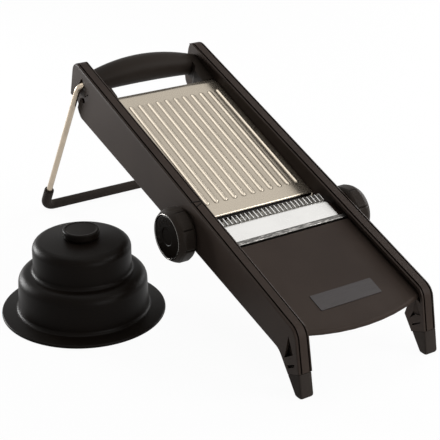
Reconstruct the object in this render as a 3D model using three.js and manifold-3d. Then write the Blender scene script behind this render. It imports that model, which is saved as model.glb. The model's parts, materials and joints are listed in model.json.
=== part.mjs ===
// Mandoline slicer with its hand guard: a sloped slicing track between two
// hollow side rails, a hinged ribbed feed plate, a straight blade, a row of
// julienne teeth, two turning dials, a folding wire leg and a spring-loaded
// hat-shaped food holder standing beside it.
//
// Units are millimetres. +X is to the right when looking at the low front end
// from the rear handle, +Y runs up the slope towards the handle, +Z is up, and
// the slicer and its guard stand on z = 0.

import * as THREE from 'three';
import { mergeVertices } from 'three/addons/utils/BufferGeometryUtils.js';
import Module from 'manifold-3d';

const wasm = await Module();
wasm.setup();

// Angles, in degrees
const slopeDegrees = 18.7;
const railBottomDegrees = 15.7;
const legFrontLeanDegrees = 11.6;
const legRearLeanDegrees = 37.9;
const footSeamDegrees = 24.3;
const plateTravelDegrees = 3.2;
const thicknessTurnDegrees = 150;
const bevelDegrees = 24;
const notchBackDegrees = 24.9;
const crownSweepDegrees = 78;
const pocketDegrees = 9;

// Clearances
const gap = 0.3;
const slideGap = 0.4;
const overrun = 2;

// The slope and the two rails
const railTopHeight = 79.2;
const railDepth = 32.6;
const railInnerFace = 52.5;
const railLipFace = 50.4;
const railOuterFace = 61.4;
const railWall = 2;
const railCoreWall = 1.2;
const railTopWall = 2.6;
const railLipDepth = 3;
const railFrontLip = 2.4;
const railLipDrop = 0.8;
const railEdgeRound = 1.6;
const railTailLength = 23;
const railRearTaper = 3.3;
const railRearDepth = 36;
const railRearCorner = 9;
const railRearFoot = 11;
const railRearWallDepth = 32.6;
const railShoulderRound = 12;
const railLegRootRound = 13;
const railGrooveInset = 1.6;
const railGrooveWidth = 1.3;
const railGrooveDepth = 1.2;

// The front legs and their rubber shoes
const footToeReach = 98.5;
const footHeelReach = 90.5;
const footTipRound = 2.6;
const footSeamHeel = 12.6;
const shoePlugHeight = 6;

// Places in the leg, each a share of its height and of the way to its rear edge
const outerWindowShares = [[0.87, 0.267], [0.489, 0.75], [0.616, 0.22]];
const outerSlotShares = [[0.402, 0.71], [0.489, 0.22], [0.449, 0.24], [0.355, 0.73]];
const pocketShares = [[0.8, 0.26], [0.615, 0.46], [0.572, 0.374], [0.595, 0.137]];
const pocketHoleShares = [[0.6, 0.46], [0.46, 0.76], [0.565, 0.39]];
const innerSlotShares = [[0.386, 0.735], [0.493, 0.187], [0.467, 0.21], [0.361, 0.75]];
const kneeShares = [[0.46, 1.06], [0.645, 0.668], [0.645, 2]];
const coreShares = [[0.92, 0.04], [0.92, 0.97], [0.36, 0.95], [0.36, 0.06]];

// The rear notch in the rail's outer wall, and the shallow web behind it
const notchTopDepth = 5.2;
const notchSetback = 18.8;
const notchLength = 7.5;
const notchThroatDepth = 13;
const notchFloorDepth = 21;
const notchSlotLength = 9;
const notchSlotDepth = 15;
const notchSlotWidth = 4.2;
const detentFromThroat = 3.1;
const detentDepth = 27;
const detentRadius = 2.8;
const webRecess = 0.9;
const webTopDepth = 2.4;
const webTopSetback = 7.3;

// Landing deck
const deckHalfWidth = 52.2;
const deckDepth = 6.4;
const deckThickness = 3;
const deckFrontReach = 99.9;
const deckFrontRadius = 161;
const deckFrontSkirt = 3.4;
const deckFrontRound = 2.4;
const deckSideSkirt = 8;
const deckRearReach = 2.6;
const deckRibDepth = 6;
const deckRibSpacing = 50;

// Bare plate let into the deck
const badgeLength = 54;
const badgeWidth = 15.2;
const badgeThickness = 0.8;
const badgeRecess = 0.7;
const badgeReach = 71;
const badgeCorner = 0.8;

// Blade and its steel holder
const bladeHalfWidth = 46.3;
const bladeDepth = 5.8;
const bladeThickness = 1.2;
const bladeFront = 3.2;
const bladeEdge = 21.5;
const holderFront = -1;
const holderRear = 18.6;
const holderHalfWidth = 51.6;
const holderThickness = 1.5;
const holderLipDepth = 5.4;
const holderLipRound = 0.8;
const seatRear = 20;
const seatThickness = 2.5;
const rivetSpacing = 76;
const rivetReach = 9;
const rivetRadius = 2.4;
const rivetHead = 0.5;
const rivetHeadRadius = 3.4;

// Julienne teeth
const toothCount = 25;
const toothPitch = 3.82;
const toothThickness = 0.7;
const toothTopDepth = 6;
const toothFront = 22;
const toothRear = 31.8;
const toothSlant = 2.4;
const combSpineTop = 17.6;
const combSpineDepth = 21.4;
const combArmSpacing = 80;
const combArmWidth = 3;
const combHubRadius = 5;

// Dial shafts, seen on the rail's side
const thicknessAxisReach = 47;
const thicknessAxisDepth = 28.7;
const julienneAxisReach = 15.6;
const julienneAxisDepth = 19.3;
const shaftRadius = 3;
const shaftBossRadius = 7.5;
const shaftEndInset = 1;

// Dials
const dialLength = 14.8;
const dialFrontRadius = 20.3;
const dialRidgeRadius = 21.5;
const dialRearRadius = 22.2;
const dialCollar = 3.2;
const dialPanelRound = 1.8;
const dialChamfer = 1.6;
const dialRearTaper = 2.8;
const dialFaceRadius = 16.8;
const dialFaceRecess = 1.6;
const dialFaceThickness = 0.9;
const dialRingWidth = 1.2;
const dialGripCount = 8;
const dialGripDepth = 0.9;
const dialSocketDepth = 9;
const dialPointerRadius = 1.6;

// Feed plate, its hinge rod and the follower under its front
const plateHalfWidth = 52;
const plateThickness = 1;
const plateFrontReach = 42.2;
const plateRearReach = 194;
const plateFrontDepth = 16.4;
const plateRearDepth = 11.8;
const plateCorner = 4;
const plateFlangeDepth = 5.2;
const plateRibCount = 12;
const plateRibPitch = 8.38;
const plateRibRadius = 1.7;
const plateRibHeight = 1;
const plateFrontMargin = 15;
const plateRearMargin = 15.4;
const hingeSetback = 3.6;
const hingeDrop = 3.6;
const hingeRodRadius = 1.9;
const followerHalfWidth = 50.4;
const followerLength = 14;
const followerThickness = 3.6;

// Cams that lift the plate
const camWidth = 3.2;
const camCentre = 48.8;

// Rear handle
const handleFingerGap = 23.8;
const handleUnderDepth = 25.2;
const handleEndRadius = 8.4;
const handleMiddleRadius = 11.9;
const handleHalfWidth = 52.2;
const cheekFrontWidth = 11.2;
const cheekBarWidth = 7.4;
const cheekSlantFront = 8.8;
const cheekSlantRear = 3.3;
const cheekSlantRound = 3;
const cheekTopDepth = 11.4;
const cheekFromPlate = 1.2;
const cheekNoseLength = 12.8;
const cheekNoseCover = 4.6;
const cheekNoseRound = 3;
const cheekRound = 1.6;

// Ledges inside the rails and the screws that come up through them
const ledgeThickness = 3;
const ledgeWidth = 8;
const deckLedgeFront = 76;
const deckLedgeRear = 8;
const handleLedgeSetback = 3.8;
const handleLedgeLength = 16;
const screwRadius = 1.6;
const screwHeadRadius = 3.2;
const screwHeadHeight = 2;
const screwLength = 9;
const screwBossRadius = 3.4;
const screwFromFace = 5;
const deckScrewFront = 66;
const deckScrewRear = 22;
const handleScrewSetback = 11.3;

// Folding wire leg
const wireRadius = 2.5;
const legPivotSetback = 21.1;
const legPivotDepth = 12.4;
const legClearance = 0.7;
const legFootHalfWidth = 66.9;
const legFootReach = 285.5;
const legTopBend = 5.6;
const legFootBend = 9;
const sleeveRadius = 4.3;
const sleeveRise = 17;
const bushRadius = 4.2;
const bushFlange = 1;
const bushFlangeRadius = 5.6;
const bushBossRadius = 6.6;

// Hand guard
const guardX = -123.8;
const guardY = 99.2;
const guardWall = 2.2;
const guardBrimRadius = 62.7;
const guardBrimHeight = 2.4;
const guardBrimRise = 1.6;
const guardBrimFillet = 3;
const guardTierRadius = 49.8;
const guardTierTaper = 1;
const guardTierHeight = 34.6;
const guardTierRound = 8.5;
const guardCrownRadius = 37.4;
const guardCrownHeight = 59.4;
const guardCrownRound = 7;
const guardCrownFillet = 3;
const guardCrownRise = 2.2;
const guardHubRadius = 8;
const guardHubDepth = 5;

// Plunger, its spring and the prongs
const knobRadius = 13.8;
const knobTop = 68;
const knobRound = 1.4;
const knobDish = 0.8;
const knobSocketDepth = 4;
const stemRadius = 4.4;
const stemSpigotRadius = 2.8;
const prongPlateRadius = 32;
const prongPlateBottom = 13.4;
const prongPlateThickness = 2.6;
const prongPlateRim = 2.4;
const prongCount = 6;
const prongCircle = 22;
const prongRadius = 1.1;
const prongTip = 2.6;
const prongPoint = 2.4;
const springRadius = 8.6;
const springWire = 0.8;
const springTurns = 7;
const springStepsPerTurn = 8;
const springSides = 5;
const springSeat = 0.35;

// How finely round things are cut
const arcSteps = 5;
const guardArcSteps = 3;
const wireSides = 10;
const roundSides = 20;
const ribSides = 8;
const dialSides = 32;
const dialPanelSteps = 6;
const guardSides = 48;

// Places that follow from the sizes above
const railBottomHeight = railTopHeight - railDepth;
const handleFrontReach = plateRearReach + handleFingerGap;
const railRearReach = handleFrontReach + railTailLength;
const notchReach = railRearReach - notchSetback;
const notchThroat = notchReach - notchLength;
const notchSlotReach = notchThroat - notchSlotLength;
const detentReach = notchThroat + detentFromThroat;
const legPivotReach = railRearReach - legPivotSetback;
const legTopHalfWidth = railOuterFace + legClearance + wireRadius;
const plateRibFront = plateFrontReach + plateFrontMargin;
const plateRibRear = plateRearReach - plateRearMargin;
const cheekFrontReach = plateRearReach + cheekFromPlate;
const handleLedgeFront = cheekFrontReach + handleLedgeSetback;
const handleLedgeRear = handleLedgeFront + handleLedgeLength;
const handleScrewReach = cheekFrontReach + handleScrewSetback;

const slope = THREE.MathUtils.degToRad(slopeDegrees);
const weldDistance = 1e-4;
const nearlyNothing = 1e-6;
const finestDetail = 0.004;
const AXIS_X = new THREE.Vector3(1, 0, 0);
const AXIS_Y = new THREE.Vector3(0, 1, 0);
const AXIS_Z = new THREE.Vector3(0, 0, 1);

// Finishes
const finish = (color, roughness, metalness) =>
  () => new THREE.MeshStandardMaterial({ color, roughness, metalness });
const blackPlastic = finish(0x2a2725, 0.5, 0);
const glossBlack = finish(0x201e1c, 0.35, 0);
const darkRubber = finish(0x1b1a19, 0.8, 0);
const greyPlate = finish(0x4b4848, 0.45, 0.2);
const ribbedSteel = finish(0xcfc6b8, 0.35, 1);
const bladeSteel = finish(0xe6e4e0, 0.2, 1);
const satinWire = finish(0xcdbfae, 0.35, 1);
const plainSteel = finish(0xb8b4ae, 0.4, 1);

// A point of the slope, given up the slope and square to it, as [y, z]
function onSlope(reach, depth) {
  return [
    reach * Math.cos(slope) + depth * Math.sin(slope),
    railTopHeight + reach * Math.sin(slope) - depth * Math.cos(slope),
  ];
}

// Turn a geometry's faces outwards, dropping triangles that have no area
function outward(geometry) {
  const bare = new THREE.BufferGeometry();
  bare.setAttribute('position', geometry.getAttribute('position').clone());
  if (geometry.index) bare.setIndex(geometry.index.clone());
  const merged = mergeVertices(bare, weldDistance);
  const points = merged.getAttribute('position');
  const corner = (i) => new THREE.Vector3().fromBufferAttribute(points, i);
  const faces = [];
  let volume = 0;
  for (let i = 0; i < merged.index.count; i += 3) {
    const [a, b, c] = [0, 1, 2].map((k) => merged.index.getX(i + k));
    if (a === b || b === c || c === a) continue;
    faces.push([a, b, c]);
    volume += corner(a).dot(corner(b).cross(corner(c)));
  }
  merged.setIndex(faces.flatMap(([a, b, c]) => (volume > 0 ? [a, b, c] : [a, c, b])));
  return merged;
}

function toSolid(geometry) {
  const merged = outward(geometry);
  return new wasm.Manifold(new wasm.Mesh({
    numProp: 3,
    vertProperties: new Float32Array(merged.getAttribute('position').array),
    triVerts: new Uint32Array(merged.index.array),
  }));
}

function toGeometry(solid) {
  const mesh = solid.getMesh();
  const geometry = new THREE.BufferGeometry();
  geometry.setAttribute('position', new THREE.Float32BufferAttribute(mesh.vertProperties, 3));
  geometry.setIndex([...mesh.triVerts]);
  return geometry;
}

const joinAll = (solids) => solids.reduce((whole, piece) => whole.add(piece));
const cutAll = (solid, cuts) => cuts.reduce((whole, cut) => whole.subtract(cut), solid);

// A closed outline with its corners rounded; each corner is [y, z, radius]
function rounded(corners) {
  const place = (i) => new THREE.Vector2(...corners.at(i % corners.length));
  return corners.flatMap(([x, y, radius], i) => {
    const here = new THREE.Vector2(x, y);
    if (!radius) return [here];
    const back = place(i - 1).sub(here).normalize();
    const ahead = place(i + 1).sub(here).normalize();
    const half = Math.acos(THREE.MathUtils.clamp(back.dot(ahead), -1, 1)) / 2;
    const centre = back.clone().add(ahead).normalize().multiplyScalar(radius / Math.sin(half)).add(here);
    const start = back.multiplyScalar(radius / Math.tan(half)).add(here).sub(centre);
    const end = ahead.multiplyScalar(radius / Math.tan(half)).add(here).sub(centre);
    const turn = Math.atan2(start.cross(end), start.dot(end));
    return Array.from({ length: arcSteps + 1 }, (_, k) =>
      start.clone().rotateAround(new THREE.Vector2(), (turn * k) / arcSteps).add(centre));
  });
}

// Extrude an outline drawn in Y and Z across X, its end edges rounded if asked
function acrossX(outline, low, high, round = 0) {
  const geometry = new THREE.ExtrudeGeometry(new THREE.Shape(outline), {
    depth: high - low - 2 * round,
    bevelEnabled: round > 0,
    bevelThickness: round,
    bevelSize: round,
    bevelOffset: -round,
    bevelSegments: 2,
  });
  geometry.applyMatrix4(new THREE.Matrix4().makeBasis(AXIS_Y, AXIS_Z, AXIS_X));
  geometry.translate(low + round, 0, 0);
  return toSolid(geometry);
}

// The same between two distances from the middle on the given side
const acrossSide = (outline, side, near, far, round = 0) =>
  acrossX(outline, Math.min(side * near, side * far), Math.max(side * near, side * far), round);

// Extrude an outline drawn in X and Y along Z
function alongZ(outline, low, high, round = 0) {
  const geometry = new THREE.ExtrudeGeometry(new THREE.Shape(outline), {
    depth: high - low - 2 * round,
    bevelEnabled: round > 0,
    bevelThickness: round,
    bevelSize: round,
    bevelOffset: -round,
    bevelSegments: 3,
  });
  geometry.translate(0, 0, low + round);
  return toSolid(geometry);
}

function block(x0, x1, y0, y1, z0, z1) {
  const geometry = new THREE.BoxGeometry(x1 - x0, y1 - y0, z1 - z0);
  geometry.translate((x0 + x1) / 2, (y0 + y1) / 2, (z0 + z1) / 2);
  return toSolid(geometry);
}

// A round bar across X, centred on [y, z]
function barX(radius, low, high, [y, z], sides = roundSides) {
  const geometry = new THREE.CylinderGeometry(radius, radius, high - low, sides);
  geometry.rotateZ(Math.PI / 2);
  geometry.translate((low + high) / 2, y, z);
  return toSolid(geometry);
}

const barSide = (radius, side, near, far, centre, sides = roundSides) =>
  barX(radius, Math.min(side * near, side * far), Math.max(side * near, side * far), centre, sides);

// A round bar along Z, centred on [x, y]
function barZ(radius, low, high, [x, y], sides = roundSides) {
  const geometry = new THREE.CylinderGeometry(radius, radius, high - low, sides);
  geometry.rotateX(Math.PI / 2);
  geometry.translate(x, y, (low + high) / 2);
  return toSolid(geometry);
}

// Revolve a profile of [radius, height] points about Z
function revolveZ(profile, sides) {
  const points = profile.map(([radius, height]) => new THREE.Vector2(Math.max(radius, 0), height));
  const geometry = new THREE.LatheGeometry(points, sides);
  geometry.rotateX(Math.PI / 2);
  return toSolid(geometry);
}

// Revolve a profile of [radius, distance from the middle] points about X
function revolveX(profile, side, [y, z], sides) {
  const points = profile.map(([radius, along]) => new THREE.Vector2(Math.max(radius, 0), along));
  const geometry = new THREE.LatheGeometry(points, sides);
  geometry.rotateZ(-side * Math.PI / 2);
  geometry.translate(0, y, z);
  return toSolid(geometry);
}

// A tube whose rings stand square to the path at each of its points
function tubeThrough(points, radius, sides) {
  const tangents = points.map((point, i) => {
    const back = points[Math.max(i - 1, 0)];
    const ahead = points[Math.min(i + 1, points.length - 1)];
    const away = ahead.clone().sub(point).normalize();
    const from = point.clone().sub(back).normalize();
    return away.add(from).normalize();
  });
  const normal = new THREE.Vector3().crossVectors(tangents[0], AXIS_Z);
  if (normal.lengthSq() < nearlyNothing) normal.crossVectors(tangents[0], AXIS_Y);
  const positions = [];
  points.forEach((point, i) => {
    normal.addScaledVector(tangents[i], -normal.dot(tangents[i])).normalize();
    const across = new THREE.Vector3().crossVectors(tangents[i], normal);
    for (let k = 0; k < sides; k += 1) {
      const angle = (2 * Math.PI * k) / sides;
      positions.push(...point.clone()
        .addScaledVector(normal, radius * Math.cos(angle))
        .addScaledVector(across, radius * Math.sin(angle)).toArray());
    }
  });
  const last = (points.length - 1) * sides;
  const faces = [];
  for (let i = 0; i < last; i += sides) {
    for (let k = 0; k < sides; k += 1) {
      const next = (k + 1) % sides;
      faces.push(i + k, i + next, i + sides + next, i + k, i + sides + next, i + sides + k);
    }
  }
  for (let k = 1; k < sides - 1; k += 1) {
    faces.push(0, k + 1, k, last, last + k, last + k + 1);
  }
  const geometry = new THREE.BufferGeometry();
  geometry.setAttribute('position', new THREE.Float32BufferAttribute(positions, 3));
  geometry.setIndex(faces);
  return outward(geometry);
}

// The inside point where two edges of an outline meet once each is moved in
function insetCorner(before, here, after, first, second) {
  const edge = (from, to) => new THREE.Vector2(...to).sub(new THREE.Vector2(...from)).normalize();
  const moved = (line, distance) => new THREE.Vector2(-line.y, line.x).multiplyScalar(distance)
    .add(new THREE.Vector2(...here));
  const along = edge(before, here);
  const onward = edge(here, after);
  const start = moved(along, first);
  const other = moved(onward, second);
  const run = other.sub(start).cross(onward) / along.cross(onward);
  return start.addScaledVector(along, run);
}

// The outline with every edge moved in by its own distance, corners kept
function inset(corners, distances) {
  const count = corners.length;
  return corners.map((corner, i) => {
    const [before, after] = [corners.at(i - 1), corners[(i + 1) % count]];
    const moved = insetCorner(before.slice(0, 2), corner.slice(0, 2), after.slice(0, 2),
      distances.at(i - 1), distances[i]);
    return [moved.x, moved.y, Math.max(corner[2] - Math.max(distances.at(i - 1), distances[i]), 0)];
  });
}

// Side rails

const frontLean = Math.tan(THREE.MathUtils.degToRad(legFrontLeanDegrees));
const rearLean = Math.tan(THREE.MathUtils.degToRad(legRearLeanDegrees));
const bottomRise = Math.tan(THREE.MathUtils.degToRad(railBottomDegrees));
const topRise = Math.tan(slope);

// The rail seen from the side, anticlockwise from the toe of the front leg
function railCorners() {
  const shoulderY = (-footToeReach + railTopHeight * frontLean) / (1 - topRise * frontLean);
  const rootY = (-footHeelReach + railBottomHeight * rearLean) / (1 - bottomRise * rearLean);
  const rearTop = onSlope(railRearReach, 0);
  const rearLow = onSlope(railRearReach - railRearTaper, railRearDepth);
  const rearRun = (rearLow[0] - rearTop[0]) / (rearLow[1] - rearTop[1]);
  const rearZ = (railBottomHeight + bottomRise * (rearTop[0] - rearRun * rearTop[1]))
    / (1 - bottomRise * rearRun);
  return [
    [-footToeReach, 0, footTipRound],
    [-footHeelReach, 0, footTipRound],
    [rootY, railBottomHeight + bottomRise * rootY, railLegRootRound],
    [rearTop[0] + rearRun * (rearZ - rearTop[1]), rearZ, railRearFoot],
    [...rearTop, railRearCorner],
    [shoulderY, railTopHeight + topRise * shoulderY, railShoulderRound],
  ];
}

// The region below the seam between leg and shoe
function belowSeam(side, lift) {
  const seam = THREE.MathUtils.degToRad(footSeamDegrees);
  const [y, z] = [-footHeelReach + footSeamHeel * rearLean, footSeamHeel + lift];
  const run = footToeReach;
  const outline = [
    [y + run, z - run * Math.tan(seam)], [y + run, -run],
    [y - run, -run], [y - run, z + run * Math.tan(seam)],
  ].map(([a, b]) => new THREE.Vector2(a, b));
  return acrossSide(outline, side, railLipFace - overrun, railOuterFace + overrun);
}

// A place in the leg given as shares of its height and of the way to its rear edge
function legPlace([up, back]) {
  const height = up * railCorners().at(-1)[1];
  const front = -footToeReach + height * frontLean;
  const rear = -footHeelReach + height * rearLean;
  return new THREE.Vector2(THREE.MathUtils.lerp(front, rear, back), height);
}

const legPrism = (shares, side, near, far) => acrossSide(shares.map(legPlace), side, near, far);

// The pocket inside the leg, its floor slanting deeper towards the front edge
function legPocket(side) {
  const hinge = [side * railLipFace, legPlace(pocketShares[1]).x];
  return legPrism(pocketShares, side, railLipFace - railOuterFace, railLipFace)
    .translate([-hinge[0], -hinge[1], 0])
    .rotate([0, 0, side * pocketDegrees])
    .translate([...hinge, 0]);
}

// Windows and slots in the leg, a triangle above a slot on each of its faces
function legWindows(side) {
  const outer = [railOuterFace - railWall - gap, railOuterFace + overrun];
  return [
    legPrism(outerWindowShares, side, ...outer), legPrism(outerSlotShares, side, ...outer),
    legPrism(pocketHoleShares, side, railLipFace - overrun, railInnerFace + railWall + gap),
    legPrism(innerSlotShares, side, railLipFace - overrun, railInnerFace - gap),
    legPrism(kneeShares, side, railLipFace - overrun, railInnerFace + railWall + gap),
    legPocket(side),
  ];
}

// The slanting rear edge of the notch
const notchBack = (depth) => notchReach
  + (depth - notchTopDepth) * Math.tan(THREE.MathUtils.degToRad(notchBackDegrees));

// The notch in the outer wall where the wire leg comes out, open below
function rearNotch(side) {
  const slot = notchSlotWidth * Math.SQRT1_2;
  const below = 2 * railRearDepth;
  const outline = [
    [notchReach, notchTopDepth],
    [notchThroat, notchThroatDepth], [notchThroat, notchFloorDepth],
    [notchSlotReach + slot, notchSlotDepth - slot / 2], [notchSlotReach, notchSlotDepth + slot / 2],
    [notchThroat - slot, notchFloorDepth + slot], [detentReach - detentRadius, detentDepth],
    [detentReach + detentRadius, detentDepth], [notchReach, railRearDepth],
    [notchReach - detentRadius, railRearDepth + detentRadius],
    [notchThroat, railRearDepth + 2 * detentRadius], [notchThroat, below],
    [notchBack(below), below],
  ].map(([reach, depth]) => new THREE.Vector2(...onSlope(reach, depth)));
  const detent = barSide(detentRadius, side, railOuterFace - railWall - overrun, railOuterFace + overrun,
    onSlope(detentReach, detentDepth), wireSides);
  return acrossSide(outline, side, railOuterFace - railWall - overrun / 2, railOuterFace + overrun)
    .subtract(detent);
}

// A wall in the middle of the leg's hollow, which keeps the windows on its two faces apart
function legCore(side) {
  const middle = (railInnerFace + railOuterFace) / 2;
  return legPrism(coreShares, side, middle - railCoreWall / 2, middle + railCoreWall / 2)
    .subtract(belowSeam(side, shoePlugHeight + gap));
}

// What is taken off behind the notch: a shallow recess and the rear wall's lower end
function rearRecess(side) {
  const rear = railRearReach + overrun;
  const below = 2 * railRearDepth;
  const web = [
    [notchReach, notchTopDepth], [railRearReach - webTopSetback, webTopDepth], [rear, webTopDepth],
    [rear, railRearWallDepth + overrun], [notchBack(railRearWallDepth), railRearWallDepth + overrun],
  ].map(([reach, depth]) => new THREE.Vector2(...onSlope(reach, depth)));
  const foot = [
    [notchReach, railRearWallDepth], [rear, railRearWallDepth], [rear, below], [notchReach, below],
  ].map(([reach, depth]) => new THREE.Vector2(...onSlope(reach, depth)));
  return acrossSide(web, side, railOuterFace - webRecess, railOuterFace + overrun)
    .add(acrossSide(foot, side, railInnerFace + railWall, railOuterFace + overrun));
}

// The tip of a screw whose head bears on the underside of a ledge
const screwTip = (ledgeTop) => -ledgeTop - ledgeThickness - gap + screwLength;

// A ledge on the inner wall with a hole for each screw
function ledge(side, front, rear, top, holes) {
  const shelf = block(
    Math.min(side * (railInnerFace - ledgeWidth), side * (railInnerFace + railWall)),
    Math.max(side * (railInnerFace - ledgeWidth), side * (railInnerFace + railWall)),
    front, rear, -top - ledgeThickness, -top);
  const bores = holes.map((reach) => barZ(screwRadius + slideGap, -top - ledgeThickness - overrun,
    -top + overrun, [side * (railInnerFace - screwFromFace), reach], wireSides));
  return cutAll(shelf, bores);
}

// Move a solid that is drawn up the slope and square to it into the upright frame
function laidOnSlope(solid) {
  const geometry = toGeometry(solid);
  geometry.rotateX(slope);
  geometry.translate(0, 0, railTopHeight);
  return toSolid(geometry);
}

const deckUnderside = deckDepth + deckSideSkirt;
const cheekUnderside = handleUnderDepth;
const thicknessAxis = onSlope(thicknessAxisReach, thicknessAxisDepth);
const julienneAxis = onSlope(julienneAxisReach, julienneAxisDepth);
const legPivot = onSlope(legPivotReach, legPivotDepth);
const bushSeat = railInnerFace + railWall / 2 + gap;
const bushFace = legTopHalfWidth - legTopBend - bushFlange - gap;

// The leg's rear wall, carried on up to the top of the rail
function legWeb(side) {
  const thick = railWall * Math.hypot(1, rearLean);
  const rear = (height) => -footHeelReach + height * rearLean;
  const outline = [
    [rear(0), 0], [rear(railTopHeight), railTopHeight], [rear(railTopHeight) - thick, railTopHeight],
    [rear(0) - thick, 0],
  ].map(([y, z]) => new THREE.Vector2(y, z));
  return acrossSide(outline, side, railInnerFace, railOuterFace);
}

// The hollow of the rail, open below and closed off from the hollow of the leg
function railHollow(side) {
  const corners = railCorners();
  const walls = [-railWall, railWall, -railRearDepth / 2, railWall, railTopWall, railWall];
  const within = rounded(inset(corners, walls));
  return acrossSide(within, side, railInnerFace + railWall, railOuterFace - railWall)
    .subtract(legWeb(side));
}

// A ring that follows the rail's top and front edges to the given depths
function edgeRing(side, near, far, top, front, outside = 0) {
  const corners = railCorners();
  const open = inset(corners, [-2 * overrun, -2 * overrun, -railRearDepth, -2 * overrun, top, front]);
  return acrossSide(rounded(inset(corners, corners.map(() => -outside))), side, near, far)
    .subtract(acrossSide(rounded(open), side, near - overrun, far + overrun));
}

// The thin lip along the inner top edge and the thick pad inside the leg
function railInnerEdge(side) {
  const [near, far] = [railLipFace, railInnerFace + railWall / 2];
  const zone = laidOnSlope(block(-railOuterFace, railOuterFace, -2 * footToeReach,
    -deckLedgeFront - overrun, -2 * railTopHeight, -deckDepth - deckFrontSkirt - gap));
  const pad = acrossSide(rounded(railCorners()), side, near, far).intersect(zone);
  return edgeRing(side, near, far, railLipDepth, railFrontLip).add(pad);
}

// The fine grooves that run round the rail beside its outer and inner edges
function railGrooves(side) {
  const outer = railOuterFace - railGrooveInset;
  const inner = railInnerFace + gap / 2;
  return [[outer - railGrooveWidth, outer], [inner - railGrooveWidth, inner]].map(([near, far]) =>
    edgeRing(side, near, far, railGrooveDepth, railGrooveDepth, overrun));
}

// A bevel that drops the lip below the flat top of the rail
function lipBevel(side) {
  const edge = [
    [railLipFace - overrun, -railLipDrop - overrun * railLipDrop / (railInnerFace - railLipFace)],
    [railInnerFace, 0], [railInnerFace, overrun], [railLipFace - overrun, overrun],
  ].map(([x, z]) => new THREE.Vector2(side * x, z));
  const geometry = new THREE.ExtrudeGeometry(new THREE.Shape(edge),
    { depth: railRearReach + footToeReach, bevelEnabled: false });
  geometry.rotateX(Math.PI / 2);
  geometry.translate(0, railRearReach, 0);
  return laidOnSlope(toSolid(geometry));
}

function railBosses(side) {
  const ear = (centre) =>
    barSide(shaftBossRadius, side, railInnerFace, railOuterFace - railEdgeRound, centre);
  const pivot = barSide(bushBossRadius, side, railInnerFace, bushFace - gap, legPivot);
  return [ear(thicknessAxis), ear(julienneAxis), pivot];
}

// Bores for the shafts, each open only on its own dial's side
function railBores(side) {
  const shaftBore = (centre, open) => barSide(shaftRadius + gap, side, railLipFace - overrun,
    open ? railOuterFace + overrun : railInnerFace + railWall + shaftEndInset + gap, centre);
  return [
    shaftBore(thicknessAxis, side < 0),
    shaftBore(julienneAxis, side > 0),
    barSide(bushRadius + gap, side, bushSeat - gap, bushFace + overrun, legPivot),
  ];
}

function makeRail(side) {
  const outline = rounded(railCorners());
  const body = acrossSide(outline, side, railInnerFace, railOuterFace - railEdgeRound)
    .add(acrossSide(outline, side, railOuterFace - 3 * railEdgeRound, railOuterFace, railEdgeRound));
  const shell = joinAll([body.subtract(railHollow(side)), legCore(side), railInnerEdge(side)]);
  const shelves = [
    ledge(side, -deckLedgeFront, -deckLedgeRear, deckUnderside + gap, [-deckScrewFront, -deckScrewRear]),
    ledge(side, handleLedgeFront, handleLedgeRear, cheekUnderside + gap, [handleScrewReach]),
  ].map(laidOnSlope);
  return cutAll(joinAll([shell, ...railBosses(side), ...shelves]), [
    ...railBores(side), rearNotch(side), rearRecess(side), lipBevel(side), belowSeam(side, 0),
    ...railGrooves(side), ...legWindows(side),
  ]);
}

// The rubber shoe on the leg, with a plug that reaches up into it
function makeShoe(side) {
  const corners = railCorners();
  const shoe = acrossSide(rounded(corners), side, railLipFace, railOuterFace, railEdgeRound)
    .intersect(belowSeam(side, -gap));
  const wall = railWall + gap;
  const plug = acrossSide(rounded(inset(corners, [railWall, wall, wall, wall, wall, wall])), side,
    railInnerFace + wall, railOuterFace - wall)
    .intersect(belowSeam(side, shoePlugHeight));
  return shoe.add(plug);
}

// Landing deck, drawn up the slope and square to it

function frontArc(radius, rear) {
  const centre = -deckFrontReach + deckFrontRadius;
  const half = Math.asin((deckHalfWidth + 4 * overrun) / deckFrontRadius);
  const arc = Array.from({ length: 2 * arcSteps + 1 }, (_, k) => {
    const angle = THREE.MathUtils.lerp(-half, half, k / (2 * arcSteps));
    return new THREE.Vector2(radius * Math.sin(angle), centre - radius * Math.cos(angle));
  });
  const wide = deckHalfWidth + 4 * overrun;
  return [...arc, new THREE.Vector2(wide, rear), new THREE.Vector2(-wide, rear)];
}

const seatTop = bladeDepth + bladeThickness + gap + holderThickness + gap;

function deckProfile() {
  const under = deckDepth + deckThickness;
  return [
    [seatRear, -seatTop], [-deckRearReach, -seatTop], [-deckRearReach, -deckDepth],
    [-deckFrontReach - overrun, -deckDepth], [-deckFrontReach - overrun, -under],
    [-deckRearReach - deckThickness, -under], [-deckRearReach - deckThickness, -seatTop - seatThickness],
    [seatRear, -seatTop - seatThickness],
  ].map(([reach, level]) => new THREE.Vector2(reach, level));
}

function deckSides() {
  return [-1, 1].map((side) => block(
    Math.min(side * deckHalfWidth, side * (deckHalfWidth - railWall)),
    Math.max(side * deckHalfWidth, side * (deckHalfWidth - railWall)),
    -deckLedgeFront, seatRear, -deckUnderside, -deckDepth - deckThickness / 2))
    .map((wall) => wall.subtract(block(-deckHalfWidth, deckHalfWidth, -deckRearReach, seatRear + overrun,
      -seatTop, 0)));
}

function deckStiffeners() {
  const under = deckDepth + deckThickness / 2;
  return [-1, 0, 1].map((place) => block(
    place * deckRibSpacing / 2 - railWall / 2, place * deckRibSpacing / 2 + railWall / 2,
    -deckLedgeFront, -deckRearReach - deckThickness / 2,
    -under - deckRibDepth, -under));
}

const screwPlaces = [-1, 1].flatMap((side) => [deckScrewFront, deckScrewRear].map((reach) =>
  [side * (railInnerFace - screwFromFace), -reach]));

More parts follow.
